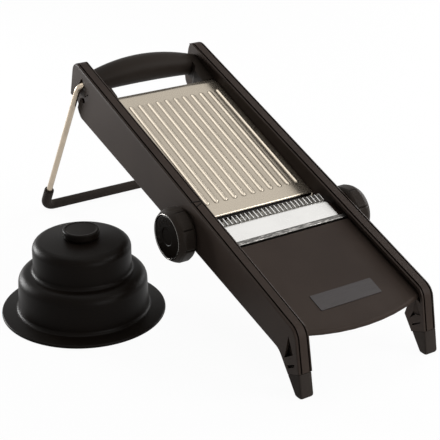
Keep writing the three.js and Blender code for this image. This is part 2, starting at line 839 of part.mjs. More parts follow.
function makeDeck() {
  const plate = acrossX(deckProfile(), -deckHalfWidth, deckHalfWidth);
  const low = -deckDepth - deckFrontSkirt;
  const within = frontArc(deckFrontRadius - deckThickness, seatRear);
  const skirt = alongZ(frontArc(deckFrontRadius, -deckRearReach), low, -deckDepth)
    .subtract(alongZ(within, low - overrun, -deckDepth + overrun))
    .intersect(block(-deckHalfWidth, deckHalfWidth, -deckFrontReach, -deckFrontReach / 2, low, 0));
  const trim = alongZ(frontArc(deckFrontRadius, seatRear + 4 * overrun),
    -deckUnderside - deckFrontRound - overrun, -deckDepth, deckFrontRound)
    .add(block(-deckHalfWidth, deckHalfWidth, -deckRearReach, seatRear, -deckUnderside, 0));
  const bosses = screwPlaces.map((place) =>
    barZ(screwBossRadius, -deckUnderside, -deckDepth - deckThickness / 2, place, roundSides / 2));
  const bores = screwPlaces.map((place) =>
    barZ(screwRadius + gap / 2, -deckUnderside - overrun, screwTip(deckUnderside), place, wireSides));
  const recess = alongZ(badgeOutline(gap / 2), -deckDepth - badgeRecess, overrun);
  const whole = joinAll([plate, ...deckSides(), skirt, ...deckStiffeners(), ...bosses]).intersect(trim);
  return cutAll(whole, [...bores, ...rivetBores(-seatTop - seatThickness - overrun, 0), recess]);
}

function badgeOutline(grow) {
  const [x, y] = [badgeLength / 2 + grow, badgeWidth / 2 + grow];
  return rounded([[-x, -badgeReach - y, badgeCorner], [x, -badgeReach - y, badgeCorner],
    [x, -badgeReach + y, badgeCorner], [-x, -badgeReach + y, badgeCorner]]);
}

const makeBadge = () => alongZ(badgeOutline(0), -deckDepth - badgeRecess + gap,
  -deckDepth - badgeRecess + gap + badgeThickness);

// Blade, holder and rivets

const rivetPlaces = [-1, 1].map((side) => [side * rivetSpacing / 2, rivetReach]);
const rivetBores = (low, high) => rivetPlaces.map((place) =>
  barZ(rivetRadius, low, high, place, wireSides));

// The blade plate with its cutting edge ground towards the feed plate
function makeBlade() {
  const ground = bladeThickness / Math.tan(THREE.MathUtils.degToRad(bevelDegrees));
  const top = -bladeDepth;
  const profile = [
    [bladeFront, top], [bladeFront, top - bladeThickness], [bladeEdge, top - bladeThickness],
    [bladeEdge - ground, top],
  ].map(([reach, level]) => new THREE.Vector2(reach, level));
  return cutAll(acrossX(profile, -bladeHalfWidth, bladeHalfWidth),
    rivetBores(top - bladeThickness - overrun, top - bladeThickness / 2));
}

// The holder's plate under the blade, and the wider bar that it carries in front
function makeHolder() {
  const top = -bladeDepth - bladeThickness - gap;
  const foot = top - holderThickness;
  const plate = block(-bladeHalfWidth, bladeHalfWidth, holderFront + holderLipRound, holderRear, foot, top);
  const bar = acrossX(rounded([
    [holderFront, foot, 0], [bladeFront - gap, foot, 0],
    [bladeFront - gap, -holderLipDepth, holderLipRound], [holderFront, -holderLipDepth, holderLipRound],
  ]), -holderHalfWidth, holderHalfWidth);
  return cutAll(plate.add(bar), rivetBores(foot - overrun, top + overrun));
}

// A rivet that ties the blade and its holder to the deck's seat from below
function makeRivet([x, y]) {
  const top = -bladeDepth - bladeThickness / 2 - gap;
  const foot = -seatTop - seatThickness - gap;
  return barZ(rivetRadius - gap, foot, top, [x, y], wireSides)
    .add(barZ(rivetHeadRadius, foot - 2 * rivetHead, foot, [x, y], roundSides / 2));
}

// Julienne comb, turned about its own shaft

// One tooth seen from the side: a plate whose leading edge slopes to a point
function toothOutline() {
  const foot = -combSpineTop - combHubRadius / 2;
  return [
    [toothFront, foot], [toothRear, foot], [toothRear, -toothTopDepth - toothSlant],
    [toothRear - toothSlant, -toothTopDepth], [toothFront, -toothTopDepth],
  ].map(([reach, level]) => new THREE.Vector2(reach, level));
}

function combArm(side) {
  const outline = [
    [julienneAxisReach, -julienneAxisDepth + combHubRadius], [toothRear, -combSpineTop],
    [toothRear, -combSpineDepth], [julienneAxisReach, -julienneAxisDepth - combHubRadius],
  ].map(([reach, level]) => new THREE.Vector2(reach, level));
  const near = combArmSpacing / 2;
  const hub = barSide(combHubRadius, side, near - combArmWidth, near + combArmWidth,
    [julienneAxisReach, -julienneAxisDepth]);
  return acrossSide(outline, side, near, near + combArmWidth).add(hub);
}

function makeComb() {
  const half = ((toothCount - 1) * toothPitch + toothThickness) / 2;
  const spine = block(-half, half, toothFront, toothRear, -combSpineDepth, -combSpineTop);
  const teeth = Array.from({ length: toothCount }, (_, i) => {
    const low = -half + i * toothPitch;
    return acrossX(toothOutline(), low, low + toothThickness);
  });
  const bore = barX(shaftRadius + gap / 2, -railInnerFace, railInnerFace,
    [julienneAxisReach, -julienneAxisDepth]);
  return joinAll([spine, ...teeth, combArm(-1), combArm(1)]).subtract(bore);
}

// A shaft that runs from the far rail's inner wall into the dial's socket
function makeShaft(side, centre) {
  const far = railOuterFace + gap + dialSocketDepth - shaftEndInset;
  const near = railInnerFace + railWall + shaftEndInset;
  return side > 0 ? barX(shaftRadius, -near, far, centre) : barX(shaftRadius, -far, near, centre);
}

// Dials

const dialBack = railOuterFace + gap;
const dialFront = dialBack + dialLength;

const dialCollarBack = dialFront - dialCollar;

// The rear of the knob, round at the back and drawn in where it meets the collar
function dialGripProfile() {
  return [
    [0, dialBack], [dialRearRadius - dialRearTaper, dialBack],
    [dialRearRadius, dialBack + dialRearTaper], [dialRearRadius, dialCollarBack - dialPanelRound],
    [dialFrontRadius, dialCollarBack], [0, dialCollarBack],
  ];
}

// The plain front collar and the recess in its face
function dialCollarProfile() {
  const floor = dialFront - dialFaceRecess;
  return [
    [0, dialCollarBack - dialPanelRound], [dialFrontRadius - gap, dialCollarBack - dialPanelRound],
    [dialFrontRadius - gap, dialFront - dialChamfer], [dialFrontRadius - dialChamfer, dialFront],
    [dialFaceRadius + dialRingWidth, dialFront], [dialFaceRadius + dialRingWidth, floor], [0, floor],
  ];
}

// Finger panels round the knob, slightly hollow and meeting in ridges
function dialPanels(centre) {
  return Array.from({ length: dialGripCount * dialPanelSteps }, (_, i) => {
    const share = (2 * (i % dialPanelSteps)) / dialPanelSteps - 1;
    const radius = dialRidgeRadius - dialGripDepth * (1 - share * share);
    const angle = (2 * Math.PI * (i - 1 / 2)) / (dialGripCount * dialPanelSteps);
    return new THREE.Vector2(centre[0] + radius * Math.cos(angle), centre[1] + radius * Math.sin(angle));
  });
}

// The knob body with its finger panels, front collar and shaft socket
function makeDial(side, centre) {
  const panels = acrossSide(dialPanels(centre), side, dialBack - overrun, dialCollarBack + overrun);
  const socket = barSide(shaftRadius + gap, side, dialBack - overrun, dialBack + dialSocketDepth, centre);
  return revolveX(dialGripProfile(), side, centre, dialSides).intersect(panels)
    .add(revolveX(dialCollarProfile(), side, centre, dialSides)).subtract(socket);
}

function makeDialRing(side, centre) {
  const low = dialFront - dialFaceRecess + gap;
  const [outer, inner] = [dialFaceRadius + dialRingWidth - gap, dialFaceRadius];
  return barSide(outer, side, low, dialFront, centre, dialSides)
    .subtract(barSide(inner, side, low - overrun, dialFront + overrun, centre, dialSides));
}

function makeDialFace(side, centre) {
  const low = dialFront - dialFaceRecess + gap;
  const disc = barSide(dialFaceRadius - gap, side, low, low + dialFaceThickness, centre, dialSides);
  const place = [centre[0], centre[1] + dialFaceRadius - 3 * dialPointerRadius];
  const floor = low + dialFaceThickness / 2;
  return disc.subtract(barSide(dialPointerRadius, side, floor, dialFront, place, wireSides));
}

// Feed plate, drawn flat with its hinge at the origin and its front at -Y

const plateTilt = Math.atan2(plateFrontDepth - plateRearDepth, plateRearReach - plateFrontReach);
const plateTravel = THREE.MathUtils.degToRad(plateTravelDegrees);
const hingeReach = plateRearReach - hingeSetback;
const hingeDepth = plateRearDepth + hingeDrop + hingeSetback * Math.tan(plateTilt);
const plateFront = -(hingeReach - plateFrontReach) / Math.cos(plateTilt);
const plateTop = hingeDrop;

function plateSheet() {
  const outline = rounded([
    [-plateHalfWidth, plateFront, 0], [plateHalfWidth, plateFront, 0],
    [plateHalfWidth, hingeSetback, plateCorner], [-plateHalfWidth, hingeSetback, plateCorner],
  ]);
  return alongZ(outline, plateTop - plateThickness, plateTop);
}

// Folded-down sides, deepest at the hinge, where the rod passes through them
function plateFlange(side) {
  const level = plateTop - plateThickness / 2;
  const outline = rounded([
    [plateFront, level, 0], [plateFront, plateTop - plateFlangeDepth, 0],
    [-hingeSetback, plateTop - plateFlangeDepth, 0],
    [-hingeRodRadius, -hingeRodRadius - plateThickness, 0],
    [hingeSetback / 2, -hingeRodRadius - plateThickness, plateThickness],
    [hingeSetback / 2, level, 0],
  ]);
  return acrossSide(outline, side, plateHalfWidth - plateThickness, plateHalfWidth);
}

// A pressed rib: a capsule on the sheet, hollow below
function ribCapsules(radius) {
  const length = plateRibRear - plateRibFront;
  const centre = -(hingeReach - (plateRibFront + plateRibRear) / 2);
  return Array.from({ length: plateRibCount }, (_, i) => {
    const geometry = new THREE.CapsuleGeometry(radius, length, 2, ribSides);
    geometry.translate((i - (plateRibCount - 1) / 2) * plateRibPitch, centre,
      plateTop + plateRibHeight - plateRibRadius);
    return toSolid(geometry);
  });
}

function makeFeedPlate() {
  const under = block(-plateHalfWidth, plateHalfWidth, plateFront, hingeSetback,
    plateTop - 2 * plateRibRadius - plateThickness, plateTop - plateThickness);
  const ribs = ribCapsules(plateRibRadius).map((rib) => rib.subtract(under));
  const hollows = ribCapsules(plateRibRadius - plateThickness);
  const bore = barX(hingeRodRadius + gap / 2, -plateHalfWidth - overrun, plateHalfWidth + overrun, [0, 0],
    wireSides);
  return cutAll(joinAll([plateSheet(), plateFlange(-1), plateFlange(1), ...ribs]), [...hollows, bore]);
}

const makeHingeRod = () => barX(hingeRodRadius, -plateHalfWidth, plateHalfWidth, [0, 0], wireSides);

const followerTop = plateTop - plateThickness - gap;
const followerCentre = -(hingeReach - thicknessAxisReach) / Math.cos(plateTilt);
const followerFront = Math.max(followerCentre - followerLength / 2, plateFront + gap);

function makeFollower() {
  return block(-followerHalfWidth, followerHalfWidth, followerFront, followerFront + followerLength,
    followerTop - followerThickness, followerTop);
}

// Cams, drawn with their shaft at the origin and +Y towards the follower's hinge

// How far the follower's flat face stands from the cam shaft at a plate tilt
function followerHeight(tilt) {
  const along = hingeReach - thicknessAxisReach;
  const above = thicknessAxisDepth - hingeDepth;
  return above * Math.cos(tilt) - along * Math.sin(tilt) + followerTop - followerThickness;
}

// A point of a cam whose flat follower stands at this height and climbs at this rate
function camPoint(height, rate, angle) {
  const [up, across] = [Math.cos(angle), Math.sin(angle)];
  return new THREE.Vector2(height * across + rate * up, height * up - rate * across);
}

// A flat-faced cam: round where the plate rests, then rising evenly with the turn
function camOutline() {
  const low = followerHeight(plateTilt) - gap;
  const rise = followerHeight(plateTilt - plateTravel) - gap - low;
  const turn = THREE.MathUtils.degToRad(thicknessTurnDegrees) + plateTravel;
  const rate = rise / turn;
  const flankSteps = 3 * arcSteps;
  const flank = Array.from({ length: flankSteps + 1 }, (_, k) => {
    const angle = (turn * k) / flankSteps;
    return camPoint(low + rate * angle, rate, angle);
  });
  const nose = flank.at(-1);
  const meet = Math.atan2(nose.x, nose.y) + Math.acos(low / nose.length());
  const round = Array.from({ length: arcSteps + 1 }, (_, k) =>
    camPoint(low, 0, THREE.MathUtils.lerp(meet, 2 * Math.PI, k / arcSteps)));
  return [...flank, ...round];
}

function makeCam(side) {
  const cam = acrossSide(camOutline(), side, camCentre - camWidth / 2, camCentre + camWidth / 2);
  return cam.subtract(barX(shaftRadius + gap / 2, -railInnerFace, railInnerFace, [0, 0]));
}

// Rear handle: a bar that swells and bows towards the middle, between two cheeks

function handleBar() {
  const stations = 3 * arcSteps;
  const sides = roundSides;
  const positions = [];
  for (let i = 0; i <= stations; i += 1) {
    const share = (2 * i) / stations - 1;
    const radius = handleEndRadius + (handleMiddleRadius - handleEndRadius) * (1 - share * share);
    const [reach, level] = [handleFrontReach + radius, -handleUnderDepth + radius];
    for (let k = 0; k < sides; k += 1) {
      const angle = (2 * Math.PI * k) / sides;
      positions.push(share * handleHalfWidth,
        reach + radius * Math.cos(angle), level + radius * Math.sin(angle));
    }
  }
  const last = stations * sides;
  const faces = [];
  for (let i = 0; i < last; i += sides) {
    for (let k = 0; k < sides; k += 1) {
      const next = (k + 1) % sides;
      faces.push(i + k, i + next, i + sides + next, i + k, i + sides + next, i + sides + k);
    }
  }
  for (let k = 1; k < sides - 1; k += 1) faces.push(0, k + 1, k, last, last + k, last + k + 1);
  const geometry = new THREE.BufferGeometry();
  geometry.setAttribute('position', new THREE.Float32BufferAttribute(positions, 3));
  geometry.setIndex(faces);
  return toSolid(geometry);
}

// The cheek seen from above: narrow beside the bar, slanting out to the plate
function cheekPlan(side) {
  const outer = deckHalfWidth + overrun;
  const [front, rear] = [hingeReach - cheekNoseCover - overrun, handleFrontReach + handleMiddleRadius];
  const [wide, narrow] = [deckHalfWidth - cheekFrontWidth, deckHalfWidth - cheekBarWidth];
  return rounded([
    [wide, front, 0], [wide, handleFrontReach - cheekSlantFront, cheekSlantRound],
    [narrow, handleFrontReach - cheekSlantRear, cheekSlantRound], [narrow, rear, 0],
    [outer, rear, 0], [outer, front, 0],
  ].map(([x, reach, radius]) => [side * x, reach, radius]));
}

function handleCheek(side) {
  const barCentre = handleFrontReach + handleEndRadius;
  const noseReach = hingeReach - cheekNoseCover;
  const noseTop = hingeDepth - plateTop + plateThickness + 2 * gap;
  const noseFoot = handleUnderDepth - cheekNoseRound;
  const arm = rounded([
    [cheekFrontReach, -cheekTopDepth, cheekRound], [cheekFrontReach, -handleUnderDepth, cheekNoseRound],
    [barCentre, -handleUnderDepth, 0], [barCentre, 2 * handleEndRadius - handleUnderDepth, 0],
  ]);
  const nose = rounded([
    [noseReach, -noseTop, cheekRound], [noseReach, -noseFoot, cheekNoseRound],
    [cheekFrontReach + cheekNoseLength, -noseFoot, 0], [cheekFrontReach + cheekNoseLength, -noseTop, 0],
  ]);
  const near = deckHalfWidth - cheekFrontWidth;
  return acrossSide(arm, side, near, deckHalfWidth)
    .add(acrossSide(nose, side, near, plateHalfWidth - plateThickness - slideGap))
    .intersect(alongZ(cheekPlan(side), -2 * handleUnderDepth, overrun));
}

function makeHandle() {
  const bore = barX(hingeRodRadius + gap / 2, -deckHalfWidth - overrun, deckHalfWidth + overrun,
    [hingeReach, -hingeDepth], wireSides);
  const pilots = [-1, 1].map((side) => [side * (railInnerFace - screwFromFace), handleScrewReach])
    .map((place) => barZ(screwRadius + gap / 2, -handleUnderDepth - overrun, screwTip(cheekUnderside),
      place, wireSides));
  return cutAll(joinAll([handleBar(), handleCheek(-1), handleCheek(1)]), [bore, ...pilots]);
}

// A screw that comes up through a ledge, its head below
function makeScrew([x, y], ledgeTop) {
  const seat = -ledgeTop - ledgeThickness - gap;
  return barZ(screwRadius, seat, screwTip(ledgeTop), [x, y], wireSides)
    .add(barZ(screwHeadRadius, seat - screwHeadHeight, seat, [x, y], roundSides / 2));
}

// Folding wire leg, drawn in its own plane: X across, -Y from pivot to floor

const legRun = new THREE.Vector2(legFootReach - legPivot[0], sleeveRadius - legPivot[1]);
const legLength = legRun.length();

// A path of straight runs and bends through the given corners
function bentPath(corners) {
  return rounded(corners.map(([x, y, radius]) => [x, y, radius]))
    .map(({ x, y }) => new THREE.Vector3(x, y, 0));
}

function legPath(inner) {
  return bentPath([
    [-inner, 0, 0], [-legTopHalfWidth, 0, legTopBend], [-legFootHalfWidth, -legLength, legFootBend],
    [legFootHalfWidth, -legLength, legFootBend], [legTopHalfWidth, 0, legTopBend], [inner, 0, 0],
  ]);
}

const makeWireLeg = () => tubeThrough(legPath(bushSeat + gap), wireRadius, wireSides);

// A soft sleeve over the foot of the leg and round both its bends
function makeSleeve() {
  const lean = (legFootHalfWidth - legTopHalfWidth) / legLength;
  const start = legFootHalfWidth - lean * sleeveRise;
  const path = bentPath([
    [-start, -legLength + sleeveRise, 0], [-legFootHalfWidth, -legLength, legFootBend],
    [legFootHalfWidth, -legLength, legFootBend], [start, -legLength + sleeveRise, 0],
  ]);
  const bore = bentPath([
    [-start + lean * overrun, -legLength + sleeveRise + overrun, 0],
    [-legFootHalfWidth, -legLength, legFootBend], [legFootHalfWidth, -legLength, legFootBend],
    [start - lean * overrun, -legLength + sleeveRise + overrun, 0],
  ]);
  return toSolid(tubeThrough(path, sleeveRadius, wireSides))
    .subtract(toSolid(tubeThrough(bore, wireRadius + gap, wireSides)));
}

// The flanged bush that carries the leg's end in the rail
function makeBush(side) {
  const body = barSide(bushRadius, side, bushSeat, bushFace, legPivot)
    .add(barSide(bushFlangeRadius, side, bushFace, bushFace + bushFlange, legPivot));
  return body.subtract(barSide(wireRadius + gap, side, bushSeat - overrun, railOuterFace, legPivot));
}

// Hand guard, drawn about its own upright axis

function arc(centreRadius, centreHeight, radius, from, to) {
  return Array.from({ length: guardArcSteps + 1 }, (_, k) => {
    const angle = THREE.MathUtils.degToRad(THREE.MathUtils.lerp(from, to, k / guardArcSteps));
    return [centreRadius + radius * Math.cos(angle), centreHeight + radius * Math.sin(angle)];
  });
}

// The outside of the hat, from the brim's edge to its hub
function guardOutside(wall) {
  const tier = guardTierRadius - wall;
  const shoulder = tier - guardTierTaper;
  const crown = guardCrownRadius - wall;
  const tierTop = guardTierHeight - wall;
  const crownTop = guardCrownHeight - wall;
  const tierRound = Math.max(guardTierRound - wall, wall);
  const crownRound = Math.max(guardCrownRound - wall, wall);
  const fillet = guardCrownFillet + wall;
  const brim = wall > 0 ? [] : [
    [guardBrimRadius, guardBrimHeight / 2],
    [guardBrimRadius - guardBrimHeight / 2, guardBrimHeight],
    ...arc(tier + guardBrimFillet, guardBrimHeight + guardBrimRise + guardBrimFillet, guardBrimFillet,
      270, 180),
  ];
  return [
    ...brim,
    ...(wall > 0 ? [[tier, 0]] : []),
    ...arc(shoulder - tierRound, tierTop - tierRound, tierRound, 0, 90),
    ...arc(crown + fillet, tierTop + fillet, fillet, 270, 180),
    ...arc(crown - crownRound, crownTop - crownRound, crownRound, 0, crownSweepDegrees),
    [guardHubRadius, crownTop + guardCrownRise],
  ];
}

function makeGuardShell() {
  const top = guardCrownHeight + guardCrownRise;
  const outer = [[0, 0], [guardBrimRadius - guardBrimHeight / 2, 0], ...guardOutside(0), [0, top]];
  const inner = [[0, -overrun], [guardTierRadius - guardWall, -overrun], ...guardOutside(guardWall),
    [guardHubRadius, top - guardWall - guardHubDepth], [0, top - guardWall - guardHubDepth]];
  const bore = barZ(stemRadius + slideGap, 0, top + overrun, [0, 0]);
  return revolveZ(outer, guardSides).subtract(revolveZ(inner, guardSides)).subtract(bore);
}

const knobBottom = guardCrownHeight + guardCrownRise + gap;

// The thumb knob with a dished top and a blind socket for the stem
function makeKnob() {
  const socketTop = knobTop - knobSocketDepth / 2;
  return revolveZ([
    [stemSpigotRadius + gap, knobBottom], [knobRadius - knobRound, knobBottom],
    [knobRadius, knobBottom + knobRound],
    [knobRadius, knobTop - knobRound], [knobRadius - knobRound, knobTop],
    [knobRadius - 3 * knobRound, knobTop], [knobRadius / 2, knobTop - knobDish], [0, knobTop - knobDish],
    [0, socketTop], [stemSpigotRadius + gap, socketTop], [stemSpigotRadius + gap, knobBottom],
  ], guardSides / 2);
}

const prongPlateTop = prongPlateBottom + prongPlateThickness;

function makeStem() {
  const foot = prongPlateTop + gap;
  const shoulder = knobBottom - gap;
  return revolveZ([
    [0, foot], [stemRadius, foot], [stemRadius, shoulder], [stemSpigotRadius, shoulder],
    [stemSpigotRadius, knobTop - knobSocketDepth / 2 - gap], [0, knobTop - knobSocketDepth / 2 - gap],
  ], roundSides);
}

const prongPlaces = Array.from({ length: prongCount }, (_, i) => {
  const angle = (2 * Math.PI * i) / prongCount;
  return [prongCircle * Math.cos(angle), prongCircle * Math.sin(angle)];
});

// The disc that presses the food, with a raised rim and a hole for each prong
function makeProngPlate() {
  const disc = revolveZ([
    [0, prongPlateBottom], [prongPlateRadius, prongPlateBottom],
    [prongPlateRadius, prongPlateTop + prongPlateRim],
    [prongPlateRadius - guardWall, prongPlateTop + prongPlateRim],
    [prongPlateRadius - guardWall, prongPlateTop], [0, prongPlateTop],
  ], guardSides);
  const holeTop = prongPlateTop - prongPlateThickness / 4;
  return cutAll(disc, prongPlaces.map((place) =>
    barZ(prongRadius + gap, prongPlateBottom - overrun, holeTop, place, wireSides)));
}

function makeProng([x, y]) {
  const top = prongPlateTop - prongPlateThickness / 4 - gap;
  const geometry = toGeometry(revolveZ([
    [0, prongTip], [prongRadius, prongTip + prongPoint], [prongRadius, top], [0, top],
  ], wireSides));
  geometry.translate(x, y, 0);
  return geometry;
}

const springBottom = prongPlateTop + springSeat + springWire;
const springTop = guardCrownHeight + guardCrownRise - guardWall - guardHubDepth - springSeat - springWire;

// One open coil from the prong plate to the hub
function springPoints() {
  const steps = springTurns * springStepsPerTurn;
  return Array.from({ length: steps + 1 }, (_, i) => {
    const angle = (2 * Math.PI * i) / springStepsPerTurn;
    return new THREE.Vector3(springRadius * Math.cos(angle), springRadius * Math.sin(angle),
      THREE.MathUtils.lerp(springBottom, springTop, i / steps));
  });
}

// The least distance between the skins of turns that lie next to each other
function springGap(points) {
  let least = Infinity;
  points.forEach((point, i) => {
    for (let j = i + springStepsPerTurn / 2; j < points.length; j += 1) {
      least = Math.min(least, point.distanceTo(points[j]));
    }
  });
  return least - 2 * springWire;
}

function makeSpring() {
  const points = springPoints();
  console.log(`spring: least gap to itself ${springGap(points).toFixed(2)} mm`);
  return tubeThrough(points, springWire, springSides);
}

// Put the pieces together

function node(name, shape, material) {
  const geometry = shape.isBufferGeometry ? shape : toGeometry(shape.asOriginal().simplify(finestDetail));
  const flat = geometry.toNonIndexed();
  flat.computeVertexNormals();
  const mesh = new THREE.Mesh(flat, material());
  mesh.name = name;
  return mesh;
}

function railGroup() {
  const group = new THREE.Group();
  for (const [name, side] of [['left', -1], ['right', 1]]) {
    group.add(node(`${name}_rail`, makeRail(side), blackPlastic));
    group.add(node(`${name}_foot_shoe`, makeShoe(side), darkRubber));
    group.add(node(`${name}_leg_bush`, makeBush(side), glossBlack));
  }
  return group;
}

function trackGroup() {
  const group = new THREE.Group();
  group.add(node('landing_deck', makeDeck(), blackPlastic));
  group.add(node('deck_name_plate', makeBadge(), greyPlate));
  group.add(node('blade', makeBlade(), bladeSteel));
  group.add(node('blade_holder', makeHolder(), bladeSteel));
  group.add(node('rear_handle', makeHandle(), blackPlastic));
  rivetPlaces.forEach((place, i) => {
    group.add(node(`blade_rivet_${i + 1}`, makeRivet(place), plainSteel));
  });
  screwPlaces.forEach((place, i) => {
    group.add(node(`deck_screw_${i + 1}`, makeScrew(place, deckUnderside + gap), plainSteel));
  });
  [-1, 1].forEach((side, i) => {
    const place = [side * (railInnerFace - screwFromFace), handleScrewReach];
    group.add(node(`handle_screw_${i + 1}`, makeScrew(place, cheekUnderside + gap), plainSteel));
  });
  return group;
}

function julienneGroup() {
  const group = new THREE.Group();
  const centre = [julienneAxisReach, -julienneAxisDepth];
  group.add(node('julienne_comb', makeComb(), bladeSteel));
  group.add(node('julienne_shaft', makeShaft(1, centre), plainSteel));
  group.add(node('julienne_dial', makeDial(1, centre), blackPlastic));
  group.add(node('julienne_dial_ring', makeDialRing(1, centre), satinWire));
  group.add(node('julienne_dial_face', makeDialFace(1, centre), glossBlack));
  return group;
}

function thicknessGroup() {
  const group = new THREE.Group();
  group.position.set(0, thicknessAxisReach, -thicknessAxisDepth);
  group.add(node('thickness_shaft', makeShaft(-1, [0, 0]), plainSteel));
  group.add(node('left_lift_cam', makeCam(-1), glossBlack));
  group.add(node('right_lift_cam', makeCam(1), glossBlack));
  group.add(node('thickness_dial', makeDial(-1, [0, 0]), blackPlastic));
  group.add(node('thickness_dial_ring', makeDialRing(-1, [0, 0]), satinWire));
  group.add(node('thickness_dial_face', makeDialFace(-1, [0, 0]), glossBlack));
  return group;
}

function plateGroup() {
  const group = new THREE.Group();
  group.position.set(0, hingeReach, -hingeDepth);
  group.rotation.x = plateTilt;
  group.add(node('feed_plate', makeFeedPlate(), ribbedSteel));
  group.add(node('feed_plate_hinge_rod', makeHingeRod(), plainSteel));
  group.add(node('feed_plate_follower', makeFollower(), glossBlack));
  return group;
}

function legGroup() {
  const group = new THREE.Group();
  group.position.set(0, legPivot[0], legPivot[1]);
  group.rotation.x = Math.atan2(-legRun.y, -legRun.x);
  group.add(node('wire_leg', makeWireLeg(), satinWire));
  group.add(node('wire_leg_sleeve', makeSleeve(), darkRubber));
  return group;
}

function guardGroup() {
  const group = new THREE.Group();
  group.position.set(guardX, guardY, 0);
  group.add(node('guard_shell', makeGuardShell(), glossBlack));
  group.add(node('guard_knob', makeKnob(), glossBlack));
  group.add(node('guard_stem', makeStem(), blackPlastic));
  group.add(node('guard_spring', makeSpring(), plainSteel));
  group.add(node('guard_prong_plate', makeProngPlate(), blackPlastic));
  prongPlaces.forEach((place, i) => {
    group.add(node(`guard_prong_${i + 1}`, makeProng(place), plainSteel));
  });
  return group;
}

const onTheSlope = new THREE.Group();
onTheSlope.position.z = railTopHeight;
onTheSlope.rotation.x = slope;
onTheSlope.add(trackGroup(), julienneGroup(), thicknessGroup(), plateGroup());

const mandoline = new THREE.Group();
mandoline.add(railGroup(), onTheSlope, legGroup(), guardGroup());

// The origin is the middle of the set's footprint, on the surface it stands on
const extent = new THREE.Box3().setFromObject(mandoline, true);
const middle = extent.getCenter(new THREE.Vector3());
mandoline.position.set(-middle.x, -middle.y, 0);

export default mandoline;
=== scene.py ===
# %% [markdown]
# A kitchen mandoline and its hand guard, dressed for a product picture. The frame holds the
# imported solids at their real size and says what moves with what. This lesson gives each of them
# a finish, works out fine surfaces where a solid is too coarse, and sets up camera and light.
# Everything is in metres and in the frame's own directions: X across the track, Y up the slope
# towards the handle, Z up from the worktop.

# %% Load the frame
import json
import math

import bmesh
import bpy
import numpy as np
from mathutils import Matrix, Vector


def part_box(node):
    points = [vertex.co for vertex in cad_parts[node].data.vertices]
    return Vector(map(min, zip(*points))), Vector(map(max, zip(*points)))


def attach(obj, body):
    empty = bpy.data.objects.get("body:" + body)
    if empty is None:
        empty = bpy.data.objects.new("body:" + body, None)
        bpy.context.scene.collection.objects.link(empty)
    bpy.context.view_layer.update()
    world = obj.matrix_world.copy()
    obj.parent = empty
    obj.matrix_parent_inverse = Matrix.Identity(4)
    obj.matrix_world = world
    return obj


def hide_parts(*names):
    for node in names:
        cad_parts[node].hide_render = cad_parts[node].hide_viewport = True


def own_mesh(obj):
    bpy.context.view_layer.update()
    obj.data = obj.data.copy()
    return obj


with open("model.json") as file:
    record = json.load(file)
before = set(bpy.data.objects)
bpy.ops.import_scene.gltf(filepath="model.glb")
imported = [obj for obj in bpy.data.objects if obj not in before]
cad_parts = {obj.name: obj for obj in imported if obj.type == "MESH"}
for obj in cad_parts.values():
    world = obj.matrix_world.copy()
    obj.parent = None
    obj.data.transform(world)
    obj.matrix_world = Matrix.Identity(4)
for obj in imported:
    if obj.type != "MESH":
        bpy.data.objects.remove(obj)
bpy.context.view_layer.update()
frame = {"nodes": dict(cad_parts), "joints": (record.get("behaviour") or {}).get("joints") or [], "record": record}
mm = 0.001

# %% [markdown]
# Most of the slicer lies on a slope, so the lesson needs that slope's own directions: across,
# up the slope, and square to it. The record gives the normal of the rail tops with their mount,
# and with X across this fixes the slope without typing it again.

# %% Find the slope
DIAL_REACH = 47 * mm
DIAL_DEPTH = 28.7 * mm
mounts = {mount["name"]: mount for mount in frame["record"]["mounts"]}
joints = {joint["name"]: joint for joint in frame["joints"]}
pivots = {name: np.array(joint["pos_m"]) for name, joint in joints.items() if "pos_m" in joint}
ACROSS = np.array([1.0, 0.0, 0.0])
UP = np.array([0.0, 0.0, 1.0])
SQUARE = np.array(mounts["left_rail_top"]["axis"])
UPHILL = np.cross(SQUARE, ACROSS)
SLOPE = math.atan2(UPHILL[2], UPHILL[1])
HOME = pivots["thickness_turn"] - DIAL_REACH * UPHILL + DIAL_DEPTH * SQUARE


def on_slope(x, reach, height):
    """Points from distances across, up the slope and square to it, in millimetres, as arrays."""
    x, reach, height = (part * mm for part in np.broadcast_arrays(x, reach, height))
    return HOME + x[..., None] * ACROSS + reach[..., None] * UPHILL + height[..., None] * SQUARE


print("slope:", round(math.degrees(SLOPE), 2), "degrees")

# %% [markdown]
# The photograph was taken from the front left and above. Its camera was solved from straight
# edges and circles of known size, which gives a place, three angles and a focal length in
# pixels. A lens in Blender is given in millimetres on a sensor, so the focal length is scaled
# by the sensor's width over the picture's width.

# %% Place the camera
EYE = np.array([HOME[0], HOME[1], 0]) + np.array([-511.5, -683.0, 466.4]) * mm
HEADING = -0.5799
DIP = 0.4234
LEAN = 0.0069
FOCAL_PIXELS = 1271.03
PICTURE_PIXELS = 440
SENSOR = 36.0


def camera_axes(heading, dip, lean):
    """Right, up and back as columns: a view turned by heading, dipped, leaned about itself."""
    ahead = np.array([
        -math.sin(heading) * math.cos(dip), math.cos(heading) * math.cos(dip), -math.sin(dip)])
    right = np.cross(ahead, UP)
    right /= np.linalg.norm(right)
    up = np.cross(right, ahead)
    turned = math.cos(lean) * right + math.sin(lean) * up
    return np.stack([turned, np.cross(turned, ahead), -ahead], axis=1)


lens = bpy.data.cameras.new("camera")
lens.sensor_width = SENSOR
lens.lens = SENSOR * FOCAL_PIXELS / PICTURE_PIXELS
camera = bpy.data.objects.new("camera", lens)
bpy.context.scene.collection.objects.link(camera)
placing = np.eye(4)
placing[:3, :3] = camera_axes(HEADING, DIP, LEAN)
placing[:3, 3] = EYE
camera.matrix_world = Matrix(placing.tolist())
bpy.context.scene.camera = camera
print("lens:", round(lens.lens, 1), "mm")

